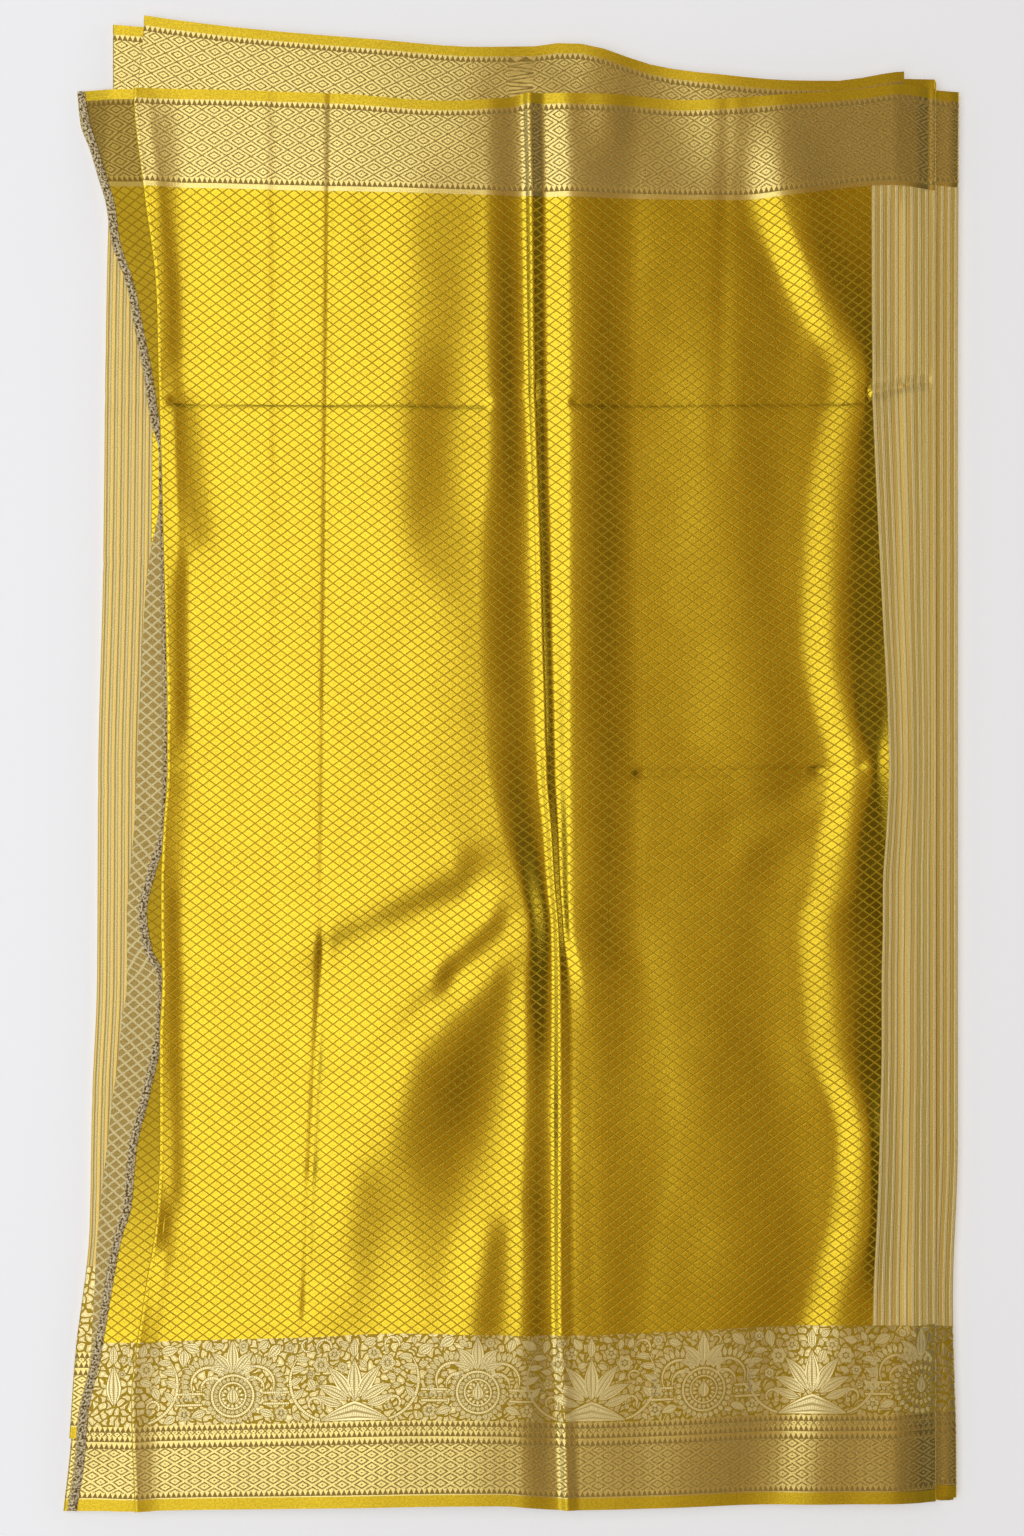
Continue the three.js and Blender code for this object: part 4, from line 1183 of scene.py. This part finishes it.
class SilkSet:
    """The materials of the saree, made from the shared groups."""

    def __init__(self, sizes, colours):
        self.sizes, self.colours = sizes, colours
        self.lattice, self.weave, self.teeth = lattice_group(), weave_group(), rows_group()

    def begin(self, name):
        self.material = bpy.data.materials.new(name)
        self.material.use_nodes = True
        self.material.node_tree.nodes.clear()
        g = Graph(self.material.node_tree)
        return g, g.node("ShaderNodeUVMap", uv_map="UVMap").outputs["UV"]

    def finish(self, g, colour, roughness, metallic, height, depth):
        bump = g.node("ShaderNodeBump", {"Height": height, "Strength": 1.0, "Distance": depth})
        shader = g.node("ShaderNodeBsdfPrincipled", {
            "Base Color": colour, "Roughness": roughness, "Metallic": metallic, "Normal": bump.outputs[0]})
        shader.inputs["Specular IOR Level"].default_value = 0.2
        g.node("ShaderNodeOutputMaterial", {"Surface": shader.outputs[0]})
        return self.material

    def painted_end_shade(self, g, uv, colour, amount):
        """The colour blended towards the shade olive above the cloth end's lower border: painted shade for
        the stretch that lies in shade.
        """
        if not amount:
            return colour
        parts = g.parts(uv)
        factor = g.mul(g.smooth(parts["Y"], 0.12, 0.34), amount)
        return g.blend(factor, colour, rgba(self.colours.shade))

    def field(self, name, end_shade_share=0.0):
        """Shining cells between duller threads, which are the lighter of the two out of the light."""
        g, uv = self.begin(name)
        cells = g.group(self.lattice, Vector=uv, Cell_Width=self.sizes.cell_width,
                        Cell_Height=self.sizes.cell_height, Line=0.13)
        weave = g.group(self.weave, Vector=uv)
        c = self.colours
        tone = g.add(g.mul(cells["Tone"], 0.25), g.mul(weave["Speckle"], 0.75))
        cell = g.blend(tone, darker(c.field, 0.72), rgba(c.field))
        dot = g.fall(cells["Ring"], 0.16, 0.34)
        # On the cloth end the cells take painted shade, blended towards the shade olive.
        cell = self.painted_end_shade(g, uv, g.blend(g.mul(dot, 0.22), cell, rgba(c.ochre)), end_shade_share)
        line = g.mul(cells["Line"], 0.68)
        colour = g.blend(line, cell, rgba(c.ochre))
        roughness = g.add(g.mix_value(line, 0.21, 0.55), g.mul(weave["Cloud"], 0.08))
        height = g.sub(g.mul(weave["Height"], 0.5), cells["Line"])
        return self.finish(g, colour, roughness, g.mix_value(line, 0.96, 0.5), height, 0.00009)

    def band(self, name, cell, rings, low, high, end_shade_share=0.0, hem=0.0):
        """Nested diamonds of zari between two rows of teeth, with a plain line along the lower edge."""
        g, uv = self.begin(name)
        cells = g.group(self.lattice, Vector=uv, Cell_Width=cell[0] * MM, Cell_Height=cell[1] * MM, Line=0.1)
        weave = g.group(self.weave, Vector=uv, Specks=760.0)
        nested = g.distance(g.fract(g.mul(cells["Ring"], rings)), 0.5)
        groove = g.mul(g.smooth(nested, 0.22, 0.4), 0.85)
        groove = g.mul(groove, g.sub(1.0, g.mul(weave["Speckle"], 0.45)))
        for start, end in ((low + hem, low + hem + 4.5), (high - 4.5, high)):
            row = g.group(self.teeth, Vector=uv, From=start * MM, To=end * MM, Pitch=0.0042)
            groove = g.mix_value(row["Inside"], groove, g.mul(row["Tooth"], 0.8))
        parts = g.parts(uv)
        groove = g.mul(groove, g.math("GREATER_THAN", parts["Y"], (low + hem) * MM))
        c = self.colours
        thread = g.speckled(weave, c.zari, 0.78)
        # On the cloth end the zari takes painted shade, blended towards the shade olive.
        thread = self.painted_end_shade(g, uv, thread, end_shade_share)
        colour = g.blend(groove, thread, rgba(c.groove))
        roughness = g.add(g.mix_value(groove, 0.24, 0.55), g.mul(weave["Cloud"], 0.08))
        height = g.sub(g.mul(weave["Height"], 0.5), groove)
        return self.finish(g, colour, roughness, g.mix_value(groove, 0.95, 0.15), height, 0.00009)

    def plain(self, name, base, dark, metallic=0.8, roughness=0.3):
        g, uv = self.begin(name)
        weave = g.group(self.weave, Vector=uv, Specks=520.0, Threads=7000.0)
        colour = g.speckled(weave, base, dark)
        rough = g.add(roughness, g.mul(weave["Cloud"], 0.1))
        shine = g.mix_value(weave["Speckle"], metallic - 0.1, metallic)
        return self.finish(g, colour, rough, shine, weave["Height"], 0.00009)

    def stripes(self):
        g, uv = self.begin("stripe_silk")
        c, pitch = self.colours, self.sizes.stripe_pitch
        parts = g.parts(uv)
        across = g.add(parts["X"], g.mul(g.noise(uv, 14.0), 0.0006))
        place = g.fract(g.math("DIVIDE", across, pitch))
        wide = g.fall(g.distance(place, 0.5), 0.1, 0.22)
        # A groove just right of each cream stripe, lowered in height; its dark colour is painted shadow of
        # the raised stripe.
        shaded_groove = g.fall(g.distance(place, 0.76), 0.03, 0.1)
        fine = g.distance(g.fract(g.math("DIVIDE", across, pitch / 4)), 0.5)
        thin = g.math("MAXIMUM", shaded_groove, g.mul(g.smooth(fine, 0.26, 0.44), 0.35))
        weave = g.group(self.weave, Vector=uv, Specks=900.0)
        ground = g.speckled(weave, c.stripe_ground, 0.8)
        # The fine lines are woven; the dark on the groove beside each cream stripe is painted shadow.
        colour = g.blend(g.mul(thin, 0.6), ground, darker(c.groove, 0.9))
        cream = g.speckled(weave, c.cream, 0.72)
        colour = g.blend(g.mul(wide, 0.8), colour, cream)
        height = g.add(g.sub(wide, g.mul(shaded_groove, 0.6)), g.mul(weave["Height"], 0.4))
        rough, shine = g.mix_value(wide, 0.32, 0.36), g.mix_value(wide, 0.45, 0.25)
        return self.finish(g, colour, rough, shine, height, 0.0003)

    def reverse(self):
        g, uv = self.begin("back_silk")
        cells = g.group(self.lattice, Vector=uv, Cell_Width=0.0104, Cell_Height=0.0086, Line=0.26)
        weave = g.group(self.weave, Vector=uv, Specks=900.0)
        parts = g.parts(uv)
        c = self.colours
        ground = g.speckled(weave, c.reverse, 0.62)
        thread = g.speckled(weave, c.cream, 0.75)
        colour = g.blend(g.mul(cells["Line"], 0.85), ground, thread)
        cut = g.fall(parts["X"], 0.0056, 0.0074)
        fluff = g.noise(uv, 520.0)
        frayed = g.blend(g.smooth(fluff, 0.42, 0.56), darker(c.groove, 0.55), rgba(c.silver))
        colour = g.blend(cut, colour, frayed)
        height = g.add(cells["Line"], g.mul(weave["Height"], 0.6))
        height = g.add(height, g.mul(cut, g.mul(fluff, 2.0)))
        rough, shine = g.mix_value(cut, 0.5, 0.62), g.mix_value(cut, 0.35, 0.1)
        return self.finish(g, colour, rough, shine, height, 0.00025)

    def foliage(self, name):
        """Small pale leaves packed closely on the ochre, behind the woven figures."""
        g, uv = self.begin(name)
        swirl = g.node("ShaderNodeTexNoise", {"Vector": uv, "Scale": 130.0, "Detail": 1.0}).outputs["Color"]
        push = g.vector("SUBTRACT", swirl, (0.5, 0.5, 0.5))
        place = g.vector("ADD", uv, g.vector("MULTIPLY", push, (0.0075, 0.0075, 0.0)))
        edge = g.node("ShaderNodeTexVoronoi", {"Vector": place, "Scale": 165.0}, voronoi_dimensions="2D",
                      feature="DISTANCE_TO_EDGE").outputs["Distance"]
        leafy = g.smooth(edge, 0.1, 0.17)
        rim = g.fall(g.distance(edge, 0.3), 0.02, 0.06)
        leafy = g.mul(leafy, g.sub(1.0, g.mul(rim, 0.35)))
        weave = g.group(self.weave, Vector=uv, Specks=800.0)
        c = self.colours
        ground = g.speckled(weave, c.floral, 0.82)
        pale = g.speckled(weave, c.cream, 0.86)
        colour = g.blend(g.mul(leafy, 0.75), ground, pale)
        height = g.add(leafy, g.mul(weave["Height"], 0.4))
        rough, shine = g.mix_value(leafy, 0.42, 0.28), g.mix_value(leafy, 0.4, 0.88)
        return self.finish(g, colour, rough, shine, height, 0.0001)

    def petal_thread(self, name):
        """Pale zari of the woven figures, with a raised rim, a dark line inside it and fine veins."""
        g, uv = self.begin(name)
        profile = g.node("ShaderNodeUVMap", uv_map="Profile").outputs["UV"]
        parts = g.parts(profile)
        side = g.math("ABSOLUTE", parts["X"])
        vein = g.fall(side, 0.06, 0.2)
        inner = g.fall(g.distance(side, 0.66), 0.04, 0.12)
        swing = g.math("SINE", g.add(g.mul(parts["Y"], 3.4), g.mul(side, -4.0)))
        ribs = g.mul(g.smooth(swing, 0.35, 0.9), g.math("LESS_THAN", side, 0.62))
        dark = g.math("MAXIMUM", g.math("MAXIMUM", vein, inner), g.mul(ribs, 0.55))
        weave = g.group(self.weave, Vector=uv, Specks=900.0)
        c = self.colours
        pale = g.speckled(weave, c.cream, 0.9)
        colour = g.blend(g.mul(dark, 0.6), pale, rgba(c.floral))
        height = g.sub(g.mul(weave["Height"], 0.5), dark)
        roughness = g.add(g.mix_value(dark, 0.3, 0.5), g.mul(weave["Cloud"], 0.06))
        return self.finish(g, colour, roughness, g.mix_value(dark, 0.9, 0.3), height, 0.0001)

    def zari_thread(self, name, colour, ribs):
        """Flat metal thread, for the stitches and the loose ends."""
        g, uv = self.begin(name)
        parts = g.parts(uv)
        lay = g.math("SINE", g.mul(g.add(parts["X"], parts["Y"]), ribs))
        weave = g.group(self.weave, Vector=uv, Specks=900.0)
        tone = g.mul(g.add(g.smooth(lay, -0.9, 0.6), weave["Speckle"]), 0.5)
        colour = g.blend(tone, darker(colour, 0.6), rgba(colour))
        height = g.add(g.mul(lay, 0.4), weave["Height"])
        return self.finish(g, colour, g.add(0.36, g.mul(weave["Cloud"], 0.06)), 0.78, height, 0.0001)

    def all(self):
        c = self.colours
        upper = dict(cell=(20.0, 12.0), rings=2.0, low=FIELD_TOP, high=UPPER_BAND_TOP, hem=4.0)
        made = {
            "selvedge": self.plain("selvedge_silk", c.selvedge, 0.8),
            "lower_band": self.band("lower_zari", (16.0, 9.6), 1.5, SELVEDGE_TOP, BAND_TOP, hem=1.0),
            "edging": self.band("edging_zari", (6.4, 6.4), 1.0, BAND_TOP, EDGING_TOP, hem=1.5),
            "floral_ground": self.foliage("floral_ground"),
            "field": self.field("lattice_silk"),
            "upper_band": self.band("upper_zari", **upper),
            "stripes": self.stripes(),
            "reverse": self.reverse(),
            # Copies of the field and upper band with painted shade, for the cloth end.
            "end_field": self.field("end_lattice_painted_shade", 0.8),
            "end_band": self.band("end_zari_painted_shade", end_shade_share=0.8, **upper),
        }
        return [made[name] for name in MATERIAL_NAMES]


# Repeats along a path

def path_object(name, points):
    mesh = bpy.data.meshes.new(name)
    edges = [(i, i + 1) for i in range(len(points) - 1)]
    mesh.from_pydata((np.asarray(points) * MM).tolist(), edges, [])
    piece = bpy.data.objects.new(name, mesh)
    bpy.context.scene.collection.objects.link(piece)
    return piece


def repeat_tree(name, count, length, radius, lean, seed, material):
    """Short threads set along a path, each turned by chance from the way the path runs."""
    tree = bpy.data.node_groups.new(name, "GeometryNodeTree")
    tree.interface.new_socket(name="Geometry", in_out="INPUT", socket_type="NodeSocketGeometry")
    for socket, kind, default in (("Count", "NodeSocketInt", count), ("Length", "NodeSocketFloat", length),
                                  ("Radius", "NodeSocketFloat", radius), ("Lean", "NodeSocketFloat", lean)):
        tree.interface.new_socket(name=socket, in_out="INPUT", socket_type=kind).default_value = default
    tree.interface.new_socket(name="Geometry", in_out="OUTPUT", socket_type="NodeSocketGeometry")
    g = Graph(tree)
    given = g.node("NodeGroupInput").outputs
    curve = g.node("GeometryNodeMeshToCurve", {"Mesh": given["Geometry"]})
    spaced = g.node("GeometryNodeResampleCurve", {"Curve": curve.outputs[0], "Count": given["Count"]},
                    mode="COUNT")
    thread = g.node("GeometryNodeMeshCylinder", {
        "Vertices": THREAD_SIDES, "Radius": given["Radius"], "Depth": given["Length"]})
    tangent = g.node("GeometryNodeInputTangent")
    aligned = g.node("FunctionNodeAlignEulerToVector", {"Vector": tangent.outputs[0]}, axis="Z")
    back = g.mul(given["Lean"], -1.0)
    low = g.node("ShaderNodeCombineXYZ", {"X": back, "Y": back, "Z": back})
    high = g.node("ShaderNodeCombineXYZ", {"X": given["Lean"], "Y": given["Lean"], "Z": given["Lean"]})
    chance = g.node("FunctionNodeRandomValue", data_type="FLOAT_VECTOR")
    g.feed(chance.inputs[0], low.outputs[0])
    g.feed(chance.inputs[1], high.outputs[0])
    g.feed(chance.inputs["Seed"], seed)
    turned = g.node("FunctionNodeRotateEuler", {
        "Rotation": aligned.outputs[0], "Rotate By": chance.outputs[0]}, space="LOCAL")
    placed = g.node("GeometryNodeInstanceOnPoints", {
        "Points": spaced.outputs[0], "Instance": thread.outputs[0], "Rotation": turned.outputs[0]})
    real = g.node("GeometryNodeRealizeInstances", {"Geometry": placed.outputs[0]})
    dressed = g.node("GeometryNodeSetMaterial", {"Geometry": real.outputs[0], "Material": material})
    g.node("NodeGroupOutput", {"Geometry": dressed.outputs[0]})
    return tree


def threads_along(name, points, count, length, radius, lean, seed, material):
    source = path_object(name + "_path", points)
    tree = repeat_tree(name, count, length, radius, lean, seed, material)
    modifier = source.modifiers.new(name, "NODES")
    modifier.node_group = tree
    ids = {item.name: item.identifier for item in tree.interface.items_tree if item.in_out == "INPUT"}
    modifier[ids["Count"]] = count
    modifier[ids["Length"]] = length
    evaluated = source.evaluated_get(bpy.context.evaluated_depsgraph_get())
    mesh = bpy.data.meshes.new_from_object(evaluated)
    piece = bpy.data.objects.new(name, mesh)
    bpy.context.scene.collection.objects.link(piece)
    source.modifiers.clear()
    bpy.data.objects.remove(source)
    return piece


# Operators

def silk_materials():
    """The silks in the order of MATERIAL_NAMES, made once."""
    if "saree_silks" not in bpy.context.scene:
        silks = SilkSet(bpy.context.scene.saree_sizes, bpy.context.scene.saree_colours)
        made = silks.all()
        silks.petal_thread("flower_zari")
        silks.plain("flower_ground", silks.colours.floral, 0.85, 0.4, 0.42)
        silks.zari_thread("stitch_thread", silks.colours.ochre, 9000.0)
        silks.zari_thread("silver_thread", silks.colours.silver, 4000.0)
        bpy.context.scene["saree_silks"] = [material.name for material in made]
    return [bpy.data.materials[name] for name in bpy.context.scene["saree_silks"]]


def flower_materials():
    silk_materials()
    return bpy.data.materials["flower_zari"], bpy.data.materials["flower_ground"]


class SAREE_OT_front_panel(bpy.types.Operator):
    """Lay the front panel with its borders, stripes and right fold."""

    bl_idname = "saree.front_panel"
    bl_label = "Front panel"

    def execute(self, context):
        piece = front_panel(silk_materials())
        woven = flowers("border_flowers", flower_materials(),
                        lambda y: (SECTION["crease"](y) + FLOWER_INSET, FOLD_FLAT_X - FLOWER_GAP),
                        front_height, front_row)
        for made in (piece, woven):
            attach(made, "root")
        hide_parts("front_field", "front_top_border", "front_bottom_border", "front_stripes")
        return {"FINISHED"}


class SAREE_OT_under_layers(bpy.types.Operator):
    """Fold the seven layers below the front, down to the surface."""

    bl_idname = "saree.under_layers"
    bl_label = "Layers below"

    def execute(self, context):
        piece = under_layers(silk_materials())
        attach(piece, "root")
        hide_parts("second_layer", "left_under_fold", "right_under_fold", "hidden_layers")
        return {"FINISHED"}


class SAREE_OT_cloth_end(bpy.types.Operator):
    """Lay the cloth end with its turned-over cut edge, its stitches and its loose threads."""

    bl_idname = "saree.cloth_end"
    bl_label = "Cloth end"

    def execute(self, context):
        sizes = context.scene.saree_sizes
        piece = cloth_end(silk_materials())
        ys = np.linspace(*CUT_SPAN, CUT_POINTS)
        edge, crease = end_inner(ys) - FRAY_INSET, SECTION["crease"](ys)
        cut = np.stack((edge, ys, end_heights(edge, ys) + FRAY_RISE), axis=1)
        shown = cut[end_inner(ys) < crease + 1.5]
        frayed = threads_along("frayed_threads", shown, sizes.frayed_threads, *FRAYED,
                               bpy.data.materials["silver_thread"])
        inset = crease + STITCH_INSET
        line = np.stack((inset, ys, front_height(inset, ys) + STITCH_RISE), axis=1)
        count = int(WIDTH * MM / sizes.stitch_spacing)
        stitches = threads_along("crease_stitches", line, count, *STITCHES,
                                 bpy.data.materials["stitch_thread"])
        woven = flowers("end_flowers", flower_materials(),
                        lambda y: (end_inner(y) + FLOWER_INSET, SECTION["crease"](y) - FLOWER_GAP),
                        end_heights, lambda x, v: front_row(np.full_like(x, END_ROW_X), v))
        for made in (piece, frayed, stitches, woven):
            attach(made, "root")
        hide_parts("end_strip", "end_turnover")
        return {"FINISHED"}


class SAREE_OT_stage(bpy.types.Operator):
    """Set the pale floor, the soft lights and the camera straight above."""

    bl_idname = "saree.stage"
    bl_label = "Stage"

    def execute(self, context):
        floor_and_light()
        view_from_above()
        return {"FINISHED"}


def soft_light(name, place, target, size, energy, colour):
    light = bpy.data.lights.new(name, "AREA")
    light.shape = "RECTANGLE"
    light.size, light.size_y = size
    light.energy = energy
    light.color = colour
    holder = bpy.data.objects.new(name, light)
    holder.location = place
    holder.rotation_euler = (Vector(target) - Vector(place)).to_track_quat("-Z", "Y").to_euler()
    bpy.context.scene.collection.objects.link(holder)


def floor_and_light():
    mesh = bpy.data.meshes.new("floor")
    corners = ((-1, -1), (1, -1), (1, 1), (-1, 1))
    mesh.from_pydata([(x * FLOOR_REACH, y * FLOOR_REACH, 0) for x, y in corners], [], [(0, 1, 2, 3)])
    paper = bpy.data.materials.new("pale_paper")
    paper.use_nodes = True
    shader = paper.node_tree.nodes["Principled BSDF"]
    for socket, value in (("Base Color", FLOOR_COLOUR), ("Roughness", 0.9), ("Specular IOR Level", 0.2),
                          ("Emission Color", FLOOR_GLOW), ("Emission Strength", FLOOR_GLOW_STRENGTH)):
        shader.inputs[socket].default_value = value
    mesh.materials.append(paper)
    floor = bpy.data.objects.new("floor", mesh)
    bpy.context.scene.collection.objects.link(floor)
    for light in LIGHTS:
        soft_light(*light)
    world = bpy.data.worlds.new("studio")
    world.use_nodes = True
    g = Graph(world.node_tree)
    direction = g.node("ShaderNodeTexCoord").outputs["Generated"]
    rise = g.parts(direction)["Z"]
    glow = g.blend(g.smooth(rise, 0.1, 0.62), HORIZON_COLOUR, ZENITH_COLOUR)
    g.feed(world.node_tree.nodes["Background"].inputs["Color"], glow)
    bpy.context.scene.world = world
    bpy.context.scene.view_settings.view_transform = "Standard"


def view_from_above():
    data = bpy.data.cameras.new("camera")
    data.lens = CAMERA_LENS
    data.sensor_fit = "VERTICAL"
    data.sensor_height = CAMERA_SENSOR
    camera = bpy.data.objects.new("camera", data)
    distance = CAMERA_LENS * VIEW_HEIGHT / CAMERA_SENSOR
    x, y, z = VIEW_CENTRE
    camera.location = Vector((x, y, z + distance)) * MM
    bpy.context.scene.collection.objects.link(camera)
    bpy.context.scene.camera = camera


class SAREE_PT_sidebar(bpy.types.Panel):
    """Lists the pieces of the saree with its sizes and colours."""

    bl_idname = "SAREE_PT_sidebar"
    bl_label = "Saree"
    bl_space_type = "VIEW_3D"
    bl_region_type = "UI"
    bl_category = "Saree"

    def draw(self, context):
        for operator in OPERATORS:
            self.layout.operator(operator.bl_idname)
        for group in (context.scene.saree_sizes, context.scene.saree_colours):
            for name in group.bl_rna.properties.keys():
                if name not in ("rna_type", "name"):
                    self.layout.prop(group, name)


OPERATORS = (SAREE_OT_stage, SAREE_OT_under_layers, SAREE_OT_front_panel, SAREE_OT_cloth_end)
CLASSES = (SareeSizes, SareeColours, *OPERATORS, SAREE_PT_sidebar)


def register():
    for cls in CLASSES:
        bpy.utils.register_class(cls)
    bpy.types.Scene.saree_sizes = PointerProperty(type=SareeSizes)
    bpy.types.Scene.saree_colours = PointerProperty(type=SareeColours)


def unregister():
    del bpy.types.Scene.saree_colours
    del bpy.types.Scene.saree_sizes
    for cls in reversed(CLASSES):
        bpy.utils.unregister_class(cls)


def main():
    register()
    bpy.ops.saree.stage()
    bpy.ops.saree.under_layers()
    bpy.ops.saree.front_panel()
    bpy.ops.saree.cloth_end()


if __name__ == "__main__":
    main()
